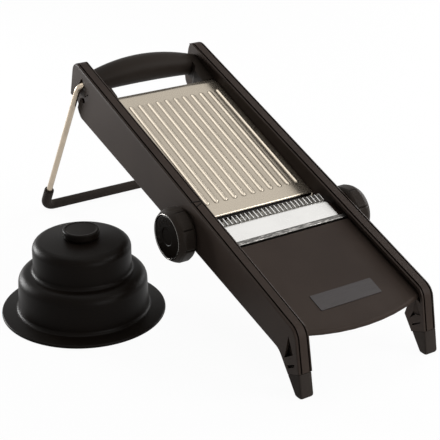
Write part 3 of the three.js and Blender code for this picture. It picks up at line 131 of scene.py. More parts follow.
# %% [markdown]
# Shader maths reads best as ordinary sums. This small class holds one socket of a material, and
# adding, subtracting or multiplying it adds the node that does the sum. A number needs a Math
# node, a colour or a direction needs Vector Math, because a Math node would turn it grey. One
# method adds any other node: its settings first, then the values or links of its sockets.

# %% Write shader sums as sums
class Signal:
    """A socket of a node tree. Arithmetic on it adds Math or Vector Math nodes."""

    def __init__(self, tree, socket):
        self.tree = tree
        self.socket = socket

    def node(self, kind, settings=None, sockets=None, output=0):
        made = self.tree.nodes.new(kind)
        for name, value in (settings or {}).items():
            setattr(made, name, value)
        for name, value in (sockets or {}).items():
            if isinstance(value, Signal):
                self.tree.links.new(value.socket, made.inputs[name])
            else:
                made.inputs[name].default_value = value
        return Signal(self.tree, made.outputs[output])

    def sum_of(self, operation, first, second):
        pair = [first, second]
        if any(isinstance(one, Signal) and one.socket.type != "VALUE" for one in pair):
            pair = [one if isinstance(one, Signal) else spread(one) for one in pair]
            kind = "ShaderNodeVectorMath"
        else:
            kind = "ShaderNodeMath"
        return self.node(kind, {"operation": operation}, dict(enumerate(pair)))

    def __add__(self, other):
        return self.sum_of("ADD", self, other)

    def __sub__(self, other):
        return self.sum_of("SUBTRACT", self, other)

    def __rsub__(self, other):
        return self.sum_of("SUBTRACT", other, self)

    def __mul__(self, other):
        return self.sum_of("MULTIPLY", self, other)

    __radd__ = __add__
    __rmul__ = __mul__

    def rise(self, low, high):
        """Zero below low, one above high and smooth between."""
        return self.node("ShaderNodeMapRange", {"interpolation_type": "SMOOTHSTEP"},
                         {"Value": self, "From Min": low, "From Max": high})

    def noise(self, scale, detail):
        """Cloudy noise over this place, about 0.5 on average, with this many finer layers."""
        return self.node("ShaderNodeTexNoise", {},
                         {"Vector": self, "Scale": scale, "Detail": detail})

    def stretched(self, scales, turn=0.0, swing=0.0):
        """This place turned about X, then about Z, and scaled along each direction."""
        return self.node("ShaderNodeMapping", {},
                         {"Vector": self, "Rotation": (turn, 0, swing), "Scale": scales})

    def blend(self, low, high):
        """The colour low where this is zero, high where it is one."""
        return self.node("ShaderNodeMix", {"data_type": "RGBA"}, {0: self, 6: low, 7: high}, 2)


def spread(value):
    """A number as a vector of three, and a colour or vector as it is."""
    return (value,) * 3 if isinstance(value, (int, float)) else value


# %% [markdown]
# A finish is a Principled shader whose constants are set on the shader itself. Only colour,
# roughness and the bump that bends the normal change over a surface, and they all start from
# the piece's own place in the frame, so a pattern stays on the piece when it moves. Two measures
# of shape help: corners rub bright, and narrow places get painted shade, a darker colour where
# little light gets in.

# %% Start a finish
class Finish:
    """A material with constants on its shader and varying colour, roughness and bump."""

    def __init__(self, name, **constants):
        self.material = bpy.data.materials.new(name)
        self.material.use_nodes = True
        tree = self.material.node_tree
        self.shader = tree.nodes["Principled BSDF"]
        for socket, value in constants.items():
            self.shader.inputs[socket.replace("_", " ")].default_value = value
        start = Signal(tree, self.shader.outputs[0])
        self.place = start.node("ShaderNodeTexCoord", output=3)
        self.normal = start.node("ShaderNodeNewGeometry", output=1)

    def edges(self, radius):
        """One where the surface turns within this radius, zero on flats: rounded corners wear."""
        soft = self.place.node("ShaderNodeBevel", {"samples": 4}, {"Radius": radius})
        alike = soft.node("ShaderNodeVectorMath", {"operation": "DOT_PRODUCT"},
                          {0: soft, 1: self.normal}, 1)
        return (1 - alike).rise(0.01, 0.12)

    def openness(self, reach):
        """One where the piece leaves a surface free within this reach, zero deep in a groove: a mask for painted
        shade.
        """
        seen = self.place.node("ShaderNodeAmbientOcclusion", {"samples": 6, "only_local": True},
                               {"Distance": reach}, 1)
        return seen.rise(0.25, 0.9)

    def wear(self, colour, roughness, height, depth):
        """Link the varying colour and roughness, and bend the normal by a height this deep."""
        links = self.material.node_tree.links
        links.new(colour.socket, self.shader.inputs["Base Color"])
        links.new(roughness.socket, self.shader.inputs["Roughness"])
        bump = height.node("ShaderNodeBump", {}, {"Height": height, "Distance": depth})
        links.new(bump.socket, self.shader.inputs["Normal"])
        return self.material


def tinted(colour, share):
    """A colour with its three parts scaled by a share."""
    return tuple(share * part for part in colour[:3]) + (1.0,)


# %% [markdown]
# The body is moulded in a satin black plastic with a fine spark-eroded grain, and it is a warm
# black, nearly brown where light falls on it. Handling leaves slightly glossier patches, and
# corners rub paler. The grain is a noise a fifth of a millimetre wide that only bends the
# normal, and a broad noise moves colour and roughness a little. The white room shows in every
# sheen, so the specular level is far below a plastic's usual half: only then are the blacks as
# deep as in the photograph. The dials, the handle and the hand guard are darker mixes.

# %% Mix the black plastics and the rubber
GRAIN, RUBBER_GRAIN = 4200, 2600
PATCHES = 22
CORNER, GROOVE = 0.4 * mm, 3 * mm
# The last share is the colour left in the painted shade of narrow places.
RUB_SHARE, RUB_TINT, GROOVE_SHADE_TINT = 0.35, 1.6, 0.2


def moulded(name, dark, pale, smooth, rough, grain_depth, specular, grain=GRAIN):
    """Moulded plastic or rubber: two close tones, patchy sheen, fine grain, rubbed corners, painted shade."""
    finish = Finish(name, Specular_IOR_Level=specular)
    patches = finish.place.noise(PATCHES, 4.0)
    worn = finish.edges(CORNER)
    tone = patches.rise(0.3, 0.7).blend(dark, pale)
    rubbed = (worn * RUB_SHARE).blend(tone, tinted(pale, RUB_TINT))
    # Painted shade: where little light gets in, the colour falls to a darker share of the dark tone.
    colour = finish.openness(GROOVE).blend(tinted(dark, GROOVE_SHADE_TINT), rubbed)
    roughness = smooth + (rough - smooth) * patches - 0.05 * worn
    return finish.wear(colour, roughness, finish.place.noise(grain, 2.0), grain_depth)


black_plastic = moulded(
    "black_plastic", (0.0280, 0.0198, 0.0158, 1), (0.0345, 0.0250, 0.0200, 1),
    smooth=0.42, rough=0.52, grain_depth=0.025 * mm, specular=0.06)
grip_black = moulded(
    "grip_black", (0.0150, 0.0112, 0.0086, 1), (0.0190, 0.0145, 0.0115, 1),
    smooth=0.42, rough=0.50, grain_depth=0.02 * mm, specular=0.06)
gloss_black = moulded(
    "gloss_black", (0.0034, 0.0023, 0.0016, 1), (0.0046, 0.0032, 0.0023, 1),
    smooth=0.34, rough=0.42, grain_depth=0.008 * mm, specular=0.048)
black_rubber = moulded(
    "black_rubber", (0.0230, 0.0185, 0.0160, 1), (0.0290, 0.0235, 0.0200, 1),
    smooth=0.62, rough=0.78, grain_depth=0.04 * mm, specular=0.06, grain=RUBBER_GRAIN)
print("plastics:", black_plastic.name, grip_black.name, gloss_black.name, black_rubber.name)

# %% [markdown]
# Steel is one shader with several surfaces. Rolled and brushed sheet has fine lines along one
# direction: a noise squeezed across the lines and stretched along them. Pressed sheet has a
# small speckle as well. Both bend the normal and move the roughness, and the colour moves a
# little, as a film of oil or a fingerprint would do. The lines follow each piece: down the slope
# on the sheet, askew on the ground edge of the blade's holder, and along the leaning wire. Grooves
# get painted shade, and beside the feed plate's ribs a painted shade line, darker and duller, is
# read from the plate's own attribute.

# %% Mix the steels
SPECKLES, FILM = 1500, 35
LINE_DEPTH = 0.004 * mm
# The first and last shares are the colour left in painted shade: beside the ribs and in grooves.
RIB_SHADE_TINT, LINE_DULL, DEEP_SHADE_TINT = 0.06, 0.1, 0.3


def steel(name, colour, smooth, rough, lines, turn=0.0, swing=0.0, speckle=0.0, streaks=0.0,
          pressed=False, metallic=1.0):
    """Bare steel: lines scaled along each direction after two turns, speckle, painted shade."""
    finish = Finish(name, Metallic=metallic)
    grain = finish.place.stretched(lines, turn, swing).noise(1.0, 4.0)
    dots = finish.place.noise(SPECKLES, 2.0)
    film = finish.place.noise(FILM, 3.0).rise(0.35, 0.75)
    shade = 0.3 * film + 0.35 * grain + speckle * (dots - 0.5) + streaks * grain.rise(0.35, 0.65)
    tone = shade.blend(colour, tinted(colour, 0.80 - 0.35 * streaks))
    roughness = smooth + (rough - smooth) * grain + 0.05 * film + 0.3 * speckle * (dots - 0.5)
    if pressed:
        # Painted shade: a darker, duller line beside the feed plate's ribs, read from the plate's attribute.
        line = finish.place.node("ShaderNodeAttribute", {"attribute_name": "pressed_line"},
                                 output=2)
        tone = line.blend(tone, tinted(colour, RIB_SHADE_TINT))
        roughness = roughness + LINE_DULL * line
    # Painted shade: grooves get a darker share of the steel's colour.
    tone = finish.openness(GROOVE).blend(tinted(colour, DEEP_SHADE_TINT), tone)
    return finish.wear(tone, roughness, grain + 2.0 * speckle * dots, LINE_DEPTH)


WIRE_LEAN, EDGE_SWING = math.radians(-28.7), 0.5
SHEET, BRIGHT, EDGE = (0.480, 0.422, 0.342, 1), (0.74, 0.73, 0.707, 1), (0.55, 0.53, 0.50, 1)
WIRE, PLAIN, CHROME = (0.50, 0.42, 0.325, 1), (0.50, 0.48, 0.45, 1), (0.30, 0.285, 0.27, 1)
ribbed_steel = steel("ribbed_steel", SHEET, 0.20, 0.28, (1400, 60, 1400), -SLOPE,
                     speckle=0.5, pressed=True, metallic=0.9)
blade_steel = steel("blade_steel", BRIGHT, 0.16, 0.28, (40, 2600, 2600), -SLOPE)
holder_steel = steel("holder_steel", EDGE, 0.2, 0.36, (230, 1500, 1500), -SLOPE, EDGE_SWING,
                     streaks=1.7)
satin_wire = steel("satin_wire", WIRE, 0.24, 0.38, (500, 500, 3), WIRE_LEAN, streaks=0.15)
plain_steel = steel("plain_steel", PLAIN, 0.28, 0.44, (900, 900, 900))
dark_chrome = steel("dark_chrome", CHROME, 0.2, 0.26, (900, 900, 900))
print("steels:", ribbed_steel.name, blade_steel.name, holder_steel.name, satin_wire.name,
      plain_steel.name, dark_chrome.name)

# %% [markdown]
# The small plate let into the deck is a grey metallic film, brushed along its length. It carries
# nothing.

# %% Mix the plate's grey
GREY, PALE_GREY = (0.032, 0.0275, 0.0270, 1), (0.044, 0.0388, 0.0382, 1)


def brushed_grey():
    """Grey film with fine lines along X."""
    finish = Finish("grey_plate", Metallic=0.3, Specular_IOR_Level=0.25)
    lines = finish.place.stretched((60, 3600, 3600), -SLOPE).noise(1.0, 3.0)
    colour = lines.rise(0.25, 0.75).blend(GREY, PALE_GREY)
    return finish.wear(colour, 0.36 + 0.14 * lines, lines, LINE_DEPTH)


grey_plate = brushed_grey()
finishes = {
    "black_plastic": black_plastic, "gloss_black_plastic": gloss_black,
    "black_rubber": black_rubber, "grey_plate": grey_plate, "ribbed_steel": ribbed_steel,
    "blade_steel": blade_steel, "satin_wire": satin_wire, "plain_steel": plain_steel,
}

# %% [markdown]
# Every piece is shown in the same way, whether it is a copy of a solid or a new surface: its
# smooth faces and real edges are marked, the nodes it stands for are hidden, and it rides on
# their body and takes a finish.

# %% Show a piece
SEAM = 0.002 * mm
SHARP = math.radians(32)
bodies_of = {name: body for body, names in frame["record"]["behaviour"]["bodies"].items()
             for name in names}
slots_of = {part["node"]: part["material_slot"] for part in frame["record"]["subparts"]}


def sharp_edges(shape):
    """The edges where two faces meet at more than the sharp angle."""
    return [edge for edge in shape.edges
            if len(edge.link_faces) == 2 and edge.calc_face_angle(0) > SHARP]


def settle(shape, mesh):
    """Smooth the faces, keep the sharp edges sharp and write the shape to its mesh."""
    for face in shape.faces:
        face.smooth = True
    for edge in sharp_edges(shape):
        edge.smooth = False
    shape.to_mesh(mesh)
    shape.free()


def show(name, mesh, *nodes, finish=None):
    """Link a mesh as a piece that stands for these nodes, on their body and in their finish."""
    piece = bpy.data.objects.new(name, mesh)
    bpy.context.scene.collection.objects.link(piece)
    mesh.materials.clear()
    mesh.materials.append(finish or finishes[slots_of[nodes[0]]])
    weights = piece.modifiers.new("weights", "WEIGHTED_NORMAL")
    weights.keep_sharp = True
    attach(piece, bodies_of[nodes[0]])
    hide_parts(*nodes)
    return piece


# %% [markdown]
# Most small solids have the right shape already. A CAD node is loose triangles, so its copy is
# merged first, and flat neighbours are joined, which leaves only real edges. Those get a small
# round, because no moulded or cut edge is perfectly sharp and the round catches the light.

# %% Dress copies of the nodes
FLAT = math.radians(0.5)


def dressed(node, width, finish=None):
    """A merged copy of a node with its real edges rounded by this width in millimetres."""
    mesh = frame["nodes"][node].data.copy()
    shape = bmesh.new()
    shape.from_mesh(mesh)
    bmesh.ops.remove_doubles(shape, verts=shape.verts, dist=SEAM)
    bmesh.ops.dissolve_limit(shape, angle_limit=FLAT, verts=shape.verts, edges=shape.edges)
    if width:
        bmesh.ops.bevel(shape, geom=sharp_edges(shape), offset=width * mm, segments=2,
                        profile=0.5, affect="EDGES", clamp_overlap=True)
    settle(shape, mesh)
    return show(node + "_dressed", mesh, node, finish=finish)


rounds = {
    "left_rail": 0.25, "right_rail": 0.25, "left_foot_shoe": 0.3, "right_foot_shoe": 0.3,
    "left_leg_bush": 0.2, "right_leg_bush": 0.2, "landing_deck": 0.3, "deck_name_plate": 0.15,
    "blade": 0.08, "julienne_comb": 0.05, "left_lift_cam": 0.3, "right_lift_cam": 0.3,
    "feed_plate_follower": 0.4, "blade_rivet_1": 0.2, "blade_rivet_2": 0.2,
    "feed_plate_hinge_rod": 0.3, "thickness_shaft": 0.3, "julienne_shaft": 0.3,
    "guard_stem": 0.3, "guard_prong_plate": 0.4,
}
PRONGS = 6
copies = [dressed(node, width) for node, width in rounds.items()]
copies += [dressed("blade_holder", 0.25, holder_steel), dressed("rear_handle", 0.4, grip_black)]
copies += [dressed(f"guard_prong_{number}", 0) for number in range(1, PRONGS + 1)]
print("dressed copies:", len(copies))

# %% [markdown]
# The rest are new surfaces. Each is a grid of points: one direction of the grid runs along an
# outline or a path, the other goes round. All points come out of one array sum, and the grid
# then becomes four-sided faces. Where a line of the grid shrinks to one point, as at a pole, the
# doubles are merged, and after that all faces are turned outwards.

# %% Turn a grid of points into a mesh
def surface(grid, closed_rows=False, closed_columns=False):
    """A mesh with a face between each four neighbours; a closed direction joins its ends."""
    rows, columns = grid.shape[:2]
    number = np.arange(rows * columns).reshape(rows, columns)
    if closed_rows:
        number = np.concatenate([number, number[:1]])
    if closed_columns:
        number = np.concatenate([number, number[:, :1]], axis=1)
    faces = np.stack(
        [number[:-1, :-1], number[1:, :-1], number[1:, 1:], number[:-1, 1:]], axis=-1)
    mesh = bpy.data.meshes.new("grid")
    mesh.from_pydata(grid.reshape(-1, 3).tolist(), [], faces.reshape(-1, 4).tolist())
    return mesh


def closed_up(mesh):
    """Merge points that fall together, turn the faces outwards and mark the real edges."""
    shape = bmesh.new()
    shape.from_mesh(mesh)
    bmesh.ops.remove_doubles(shape, verts=shape.verts, dist=SEAM)
    bmesh.ops.recalc_face_normals(shape, faces=shape.faces)
    settle(shape, mesh)
    return mesh


# %% [markdown]
# Round pieces start from an outline of distance from the axis and height along it. The corners
# are given with a radius, and each is replaced by an arc that touches both sides. A turn about
# the axis then makes the surface.

# %% Round an outline and turn it about an axis
ARC_STEPS = 8


def rounded(corners, closed=True, steps=ARC_STEPS):
    """The outline with each corner (x, y, radius) cut by an arc.

    The arc's centre lies on the corner's bisector, radius / sin(half) from the corner, and its
    ends lie radius / tan(half) along both sides. Points between come from turning one end
    towards the other: (sin((1 - t) turn) start + sin(t turn) end) / sin(turn).
    """
    points = np.array([corner[:2] for corner in corners], float)
    count = len(points)
    pieces = []
    for i, (_, _, radius) in enumerate(corners):
        here = points[i]
        if not radius or (not closed and i in (0, count - 1)):
            pieces.append(here[None])
            continue
        back, ahead = points[i - 1] - here, points[(i + 1) % count] - here
        back, ahead = back / np.linalg.norm(back), ahead / np.linalg.norm(ahead)
        half = math.acos(np.clip(back @ ahead, -1, 1)) / 2
        middle = (back + ahead) / np.linalg.norm(back + ahead) * radius / math.sin(half)
        start, end = (side * radius / math.tan(half) - middle for side in (back, ahead))
        turn = math.pi - 2 * half
        share = np.linspace(0, 1, steps + 1)[:, None]
        arc = (np.sin((1 - share) * turn) * start + np.sin(share * turn) * end) / math.sin(turn)
        pieces.append(here + middle + arc)
    return np.concatenate(pieces)


def turned(outline, origin, axis, start, steps):
    """Grid of an outline turned about an axis.

    Each point is origin + radius (cos a start + sin a (axis x start)) + height axis.
    """
    angle = np.linspace(0, 2 * np.pi, steps, endpoint=False)[None, :, None]
    radius, height = (outline[:, i, None, None] * mm for i in (0, 1))
    spokes = np.cos(angle) * start + np.sin(angle) * np.cross(axis, start)
    return origin + radius * spokes + height * axis


# %% [markdown]
# The hand guard is a hat: a brim to ride on the rails, a wide tier, a narrower crown and a hub
# with a bore for the plunger's stem. Its wall is two millimetres thick everywhere, so the outline
# goes up the outside and back down the inside. The brim and the shoulder between the tiers have
# soft rounds, which carry the long highlights. The thumb knob above it is a thick disc, a little
# dished for the thumb.

# %% Turn the hand guard and its knob
GUARD_STEPS, KNOB_STEPS = 160, 80
low, high = (np.array(corner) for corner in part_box("guard_shell"))
GUARD = np.array([(low[0] + high[0]) / 2, (low[1] + high[1]) / 2, 0])
guard_outside = [
    (47.6, 0, 0.6), (62.7, 0, 1.15), (62.7, 2.4, 1.15), (49.9, 4.3, 3), (48.8, 34.6, 8.5),
    (37.4, 34.6, 3), (37.4, 59.0, 7), (8, 61.6, 3), (4.8, 61.6, 0.5),
]
guard_inside = [
    (4.8, 54.4, 0.5), (8, 54.4, 0.8), (8, 59.4, 1), (35.2, 56.9, 4.8), (35.2, 32.4, 5.2),
    (46.6, 32.4, 6.3),
]
hat = turned(rounded(guard_outside + guard_inside), GUARD, UP, ACROSS, GUARD_STEPS)
guard = surface(hat, closed_rows=True, closed_columns=True)
show("guard_hat", closed_up(guard), "guard_shell")

disc = rounded([
    (0, 61.9, 0), (13.2, 61.9, 0.5), (13.8, 63.1, 1), (13.8, 68, 0.9), (12.2, 68, 1),
    (11.2, 67.7, 1.2), (0, 67.7, 0),
], closed=False)
thumb = surface(turned(disc, GUARD, UP, ACROSS, KNOB_STEPS), closed_columns=True)
show("thumb_knob", closed_up(thumb), "guard_knob")
print("guard faces:", len(guard.polygons), "knob faces:", len(thumb.polygons))

# %% [markdown]
# A wire is a circle carried along a path. The circle at each point stands square to the path,
# spanned by a side direction that is known for every path here, and by the direction square to
# both. Ends are closed by letting the circle shrink to a point.

# %% Carry a circle along a path
def tube(path, side, radius, steps):
    """Grid of a tube: path + radius (cos a side + sin a (ahead x side)), in metres."""
    ahead = np.gradient(path, axis=0)
    ahead /= np.linalg.norm(ahead, axis=1, keepdims=True)
    side = np.broadcast_to(side, path.shape)
    angle = np.linspace(0, 2 * np.pi, steps, endpoint=False)[None, :, None]
    ring = np.cos(angle) * side[:, None] + np.sin(angle) * np.cross(ahead, side)[:, None]
    return path[:, None] + np.reshape(radius, (-1, 1, 1)) * ring


def ended(path, radius, depth):
    """The path and its radius in metres, with both ends rounded off over a depth.

    Towards an end the radius falls as a quarter circle: radius - depth (1 - cos a) at a way out
    of depth sin a. A point a hair further out, of no radius, closes the flat that is left.
    """
    share = np.linspace(0, np.pi / 2, 5)
    fallen = radius - depth * (1 - np.cos(share))
    radii = np.concatenate([[0], fallen[::-1], np.full(len(path) - 2, radius), fallen, [0]])
    first, last = path[0] - path[1], path[-1] - path[-2]
    first, last = (step / np.linalg.norm(step) for step in (first, last))
    out = (depth * np.sin(share))[:, None]
    start, stop = path[0] - depth * first, path[-1] - depth * last
    ends = (start + out * first)[::-1], stop + out * last
    nudge = SEAM / 2
    return np.concatenate([ends[0][:1] + nudge * first, ends[0], path[1:-1], ends[1],
                           ends[1][-1:] + nudge * last]), radii


# %% [markdown]
# The leg is one wire bent twice at the top, where it enters the rails through its bushes, and
# twice at the foot. It lies in one plane, which leans back from the pivot to the worktop. A soft
# sleeve covers the foot and both bends, so that the slicer doesn't slip.

# %% Bend the wire leg and its sleeve
PIVOT = pivots["leg_fold"]
FOOT_REACH = 285.4
WIDE, NARROW, INSIDE, SLEEVE_RISE = 66.9, 64.6, 54.1, 23
FOOT_BEND, TOP_BEND, BEND_STEPS = 9, 5.6, 10
WIRE_RADIUS, WIRE_END, WIRE_STEPS = 2.5, 0.5, 28
SLEEVE_RADIUS, SLEEVE_END, SLEEVE_STEPS = 4.3, 1.1, 32
foot = np.array([PIVOT[0], HOME[1] + FOOT_REACH * mm, SLEEVE_RADIUS * mm])
leg_length = np.linalg.norm(foot - PIVOT) / mm
DOWN_LEG = (foot - PIVOT) / (leg_length * mm)
leg_side = np.cross(ACROSS, DOWN_LEG)


def leg_place(corners):
    """Points of the leg's own plane, from distances across it and down it."""
    flat = rounded(corners, closed=False, steps=BEND_STEPS) * mm
    return PIVOT + flat[:, :1] * ACROSS + flat[:, 1:] * DOWN_LEG


def wire_piece(name, node, corners, radius, depth, steps):
    """A bent round bar with rounded ends, shown in place of its node."""
    path, radii = ended(leg_place(corners), radius * mm, depth * mm)
    made = closed_up(surface(tube(path, leg_side, radii, steps), closed_columns=True))
    show(name, made, node)
    return len(made.polygons)


lean = (WIDE - NARROW) / leg_length
cuff = WIDE - lean * SLEEVE_RISE
foot_bends = [(-WIDE, leg_length, FOOT_BEND), (WIDE, leg_length, FOOT_BEND)]
wire_corners = [(-INSIDE, 0, 0), (-NARROW, 0, TOP_BEND), *foot_bends,
                (NARROW, 0, TOP_BEND), (INSIDE, 0, 0)]
sleeve_corners = [(-cuff, leg_length - SLEEVE_RISE, 0), *foot_bends,
                  (cuff, leg_length - SLEEVE_RISE, 0)]
wire_faces = wire_piece(
    "leg_wire", "wire_leg", wire_corners, WIRE_RADIUS, WIRE_END, WIRE_STEPS)
sleeve_faces = wire_piece(
    "leg_sleeve", "wire_leg_sleeve", sleeve_corners, SLEEVE_RADIUS, SLEEVE_END, SLEEVE_STEPS)
print("wire faces:", wire_faces, "sleeve faces:", sleeve_faces)

# %% [markdown]
# The plunger's spring is one open coil between the prong plate and the hub. It is the same tube
# along a helix, and its side direction is the spoke from the axis. The spring can't be rigid: as
# the plunger rises it gets shorter, so it gets a mesh of its own.

# %% Wind the spring
SPRING_RADIUS, SPRING_WIRE, SPRING_TURNS = 8.6, 0.8, 7
TURN_STEPS, COIL_STEPS = 30, 12
spring_low, spring_high = (np.array(corner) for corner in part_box("guard_spring"))
wound = np.linspace(0, 1, SPRING_TURNS * TURN_STEPS + 1)[:, None]
angle = 2 * np.pi * SPRING_TURNS * wound
spoke = np.cos(angle) * ACROSS + np.sin(angle) * np.cross(UP, ACROSS)
travel = spring_high[2] - spring_low[2] - 2 * SPRING_WIRE * mm
helix = GUARD + SPRING_RADIUS * mm * spoke + (
    spring_low[2] + SPRING_WIRE * mm + wound * travel) * UP
coil = tube(helix, spoke, np.full(len(helix), SPRING_WIRE * mm), COIL_STEPS)
coil = np.concatenate([helix[:1, None].repeat(COIL_STEPS, 1), coil,
                       helix[-1:, None].repeat(COIL_STEPS, 1)])
spring = show("plunger_spring", closed_up(surface(coil, closed_columns=True)), "guard_spring")
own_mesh(spring)

# %% [markdown]
# The feed plate is steel sheet with twelve ribs pressed up from below. Each rib is a capsule: the
# distance from a point of the plate to the rib's middle line gives its height, as an arc of a
# circle that stands partly below the sheet. A smooth maximum joins rib and sheet with the small
# fillet that a press leaves, and the die presses a faint crease round it. Round the crease runs a
# dull line of painted shade, thin on the rib's left and broad on its right and front as in the
# photograph, on the side turned from the light; it is worked out with the shape and kept as an
# attribute for the finish. The sides are folded down. Thickness comes afterwards from a Solidify
# modifier, so the ribs are hollow below.

# %% Press the feed plate
HINGE = pivots["feed_plate_tilt"]
FRONT_REACH, HINGE_REACH, REAR_REACH = 42.2, 190.4, 194
FRONT_DEPTH, REAR_DEPTH = 16.4, 11.8
PLATE_TILT = math.atan2(FRONT_DEPTH - REAR_DEPTH, REAR_REACH - FRONT_REACH)
ALONG = math.cos(PLATE_TILT) * UPHILL + math.sin(PLATE_TILT) * SQUARE
ABOVE = math.cos(PLATE_TILT) * SQUARE - math.sin(PLATE_TILT) * UPHILL
PLATE_HALF, PLATE_TOP, PLATE_REAR, PLATE_CORNER, PLATE_WALL = 52, 3.6, 3.6, 4, 1.0
PLATE_FRONT = (FRONT_REACH - HINGE_REACH) / math.cos(PLATE_TILT)
FOLD, FOLD_DROPS = 1.2, [3.5, 5.2]
RIBS, PITCH, RIB_RADIUS, RIB_HEIGHT = 12, 8.38, 1.7, 1.0
RIB_ENDS = (57.2 - HINGE_REACH, 178.6 - HINGE_REACH)
OVER_RIB = np.linspace(-2.6, 2.6, 21)
FILLET = 0.4
CREASE_AT, CREASE_WIDTH, CREASE_DEPTH = 1.95, 0.34, 0.12
# The next two lines shape the painted shade line round each rib.
LINE_WIDTH, LINE_GROWTH = 0.35, 0.45
TO_RIGHT, TO_REAR = 0.45, -0.22


def rib_offset(x, y):
    """Steps across and along from the nearest rib's middle line, which ends inside the plate."""
    nearest = np.clip(np.round(x / PITCH + (RIBS - 1) / 2), 0, RIBS - 1)
    return x - (nearest - (RIBS - 1) / 2) * PITCH, y - np.clip(y, *RIB_ENDS)


def pressed_line(aside, along):
    """Painted shade round a rib: (1 + side) / 2 exp(-((distance - radius) / width)^4),
    with a width that grows with the side.

    The side is near one at a rib's right and front, turned from the light, and near zero at its
    left and rear.
    """
    distance = np.hypot(aside, along)
    side = 0.5 + (TO_RIGHT * aside + TO_REAR * along) / np.maximum(distance, RIB_RADIUS / 2)
    width = LINE_WIDTH + LINE_GROWTH * side
    return (0.5 + 0.5 * side) * np.exp(-((distance - RIB_RADIUS) / width)**4)


def rib_height(distance):
    """sqrt(radius^2 - distance^2) less the sunk part, joined to the sheet by a smooth maximum."""
    bare = np.sqrt(np.maximum(RIB_RADIUS**2 - distance**2, 0)) + RIB_HEIGHT - RIB_RADIUS
    share = np.clip(0.5 + 0.5 * bare / FILLET, 0, 1)
    crease = CREASE_DEPTH * np.exp(-((distance - CREASE_AT) / CREASE_WIDTH)**2)
    return bare * share + FILLET * share * (1 - share) - crease


def plate_columns():
    """Distances across the sheet, close together over each rib, and drops below its top."""
    over_ribs = ((np.arange(RIBS) - (RIBS - 1) / 2) * PITCH)[:, None] + OVER_RIB
    turn = np.linspace(0, np.pi / 2, 6)
    fold_x = PLATE_HALF - FOLD * (1 - np.sin(turn))
    right_x = np.concatenate([fold_x, [PLATE_HALF, PLATE_HALF]])
    right_drop = np.concatenate([FOLD * (1 - np.cos(turn)), FOLD_DROPS])
    x = np.concatenate([-right_x[::-1], over_ribs.ravel(), right_x])
    drop = np.concatenate([right_drop[::-1], np.zeros(over_ribs.size), right_drop])
    return x, drop


def plate_rows():
    """Distances along the sheet from its hinge, close together over the ends of the ribs."""
    front, rear = RIB_ENDS
    return np.concatenate([
        np.linspace(PLATE_FRONT, front - 3, 8), front + OVER_RIB,
        np.linspace(front + 4, rear - 4, 14), rear + OVER_RIB,
        np.linspace(rear + 3, PLATE_REAR - PLATE_CORNER, 5), [PLATE_REAR]])


def press_plate():
    """Grid of the plate and its painted shade line; the last row follows the round corners."""
    x, drop = plate_columns()
    corner = np.clip(np.abs(x) - (PLATE_HALF - PLATE_CORNER), 0, PLATE_CORNER)
    end = PLATE_REAR - PLATE_CORNER + np.sqrt(PLATE_CORNER**2 - corner**2)
    x, y = np.meshgrid(x, plate_rows())
    y[-1] = end
    aside, along = rib_offset(x, y)
    z = PLATE_TOP - drop + np.where(drop > 0, 0, rib_height(np.hypot(aside, along)))
    points = HINGE + (x[..., None] * ACROSS + y[..., None] * ALONG + z[..., None] * ABOVE) * mm
    return points, pressed_line(aside, along) * (drop == 0)


plate_grid, lines = press_plate()
plate = surface(plate_grid)
# The painted shade line round the ribs rides on the plate as an attribute.
marks = plate.attributes.new("pressed_line", "FLOAT", "POINT")
marks.data.foreach_set("value", lines.ravel().astype(np.float32))
plate.polygons.foreach_set("use_smooth", np.ones(len(plate.polygons), bool))
feed = show("pressed_plate", plate, "feed_plate")
wall = feed.modifiers.new("wall", "SOLIDIFY")
wall.thickness = PLATE_WALL * mm
wall.offset = -1
facing = plate.polygons[0].normal @ Vector(ABOVE) > 0
print("plate faces:", len(plate.polygons), "facing up:", facing)

# %% [markdown]
# A dial is a turned knob whose sides are cut to eight finger panels. At each place along the
# axis its radius is the smaller of two: the turned outline's, and the panels', which dip between
# their ridges. A narrow groove runs along each ridge, and a shallower one along the border where
# the two meet. The panels need points close to their ridges and few between, so the angles are
# bunched with a sine.

# %% Cut the dials
PANELS, RIDGE_RADIUS, PANEL_DIP = 8, 21.5, 0.9
PANEL_STEPS, OUTLINE_STEP, ROUND_STEPS = 24, 0.5, 96
RIDGE_START = math.radians(-3.75)
SEAM_DEPTH, SEAM_WIDTH = 1.2, 0.55
BORDER_DEPTH, BORDER_WIDTH = 0.35, 0.35
DIAL_BACK = 61.7
KNOB_OUTLINE = [
    (0, 0, 0), (18.9, 0, 1.2), (21.9, 3.0, 1.2), (21.9, 9.1, 0), (17.95, 14.8, 0.5),
    (17.72, 14.8, 0), (17.72, 13.45, 0), (0, 13.45, 0),
]


def finely(outline, step):
    """The outline with extra points, so that none are further apart than a step along it."""
    run = np.concatenate([[0], np.cumsum(np.linalg.norm(np.diff(outline, axis=0), axis=1))])
    along = np.unique(np.concatenate([run, np.arange(0, run[-1], step)]).round(4))
    return np.stack([np.interp(along, run, outline[:, i]) for i in (0, 1)], axis=1)


def panel_radius(share):
    """Ridge radius less the dip (1 - share^2) and less the groove exp(-(gap / width)^2)."""
    gap = (1 - np.abs(share)) * np.pi / PANELS * RIDGE_RADIUS
    seam = SEAM_DEPTH * np.exp(-(gap / SEAM_WIDTH)**2)
    return RIDGE_RADIUS - PANEL_DIP * (1 - share**2) - seam


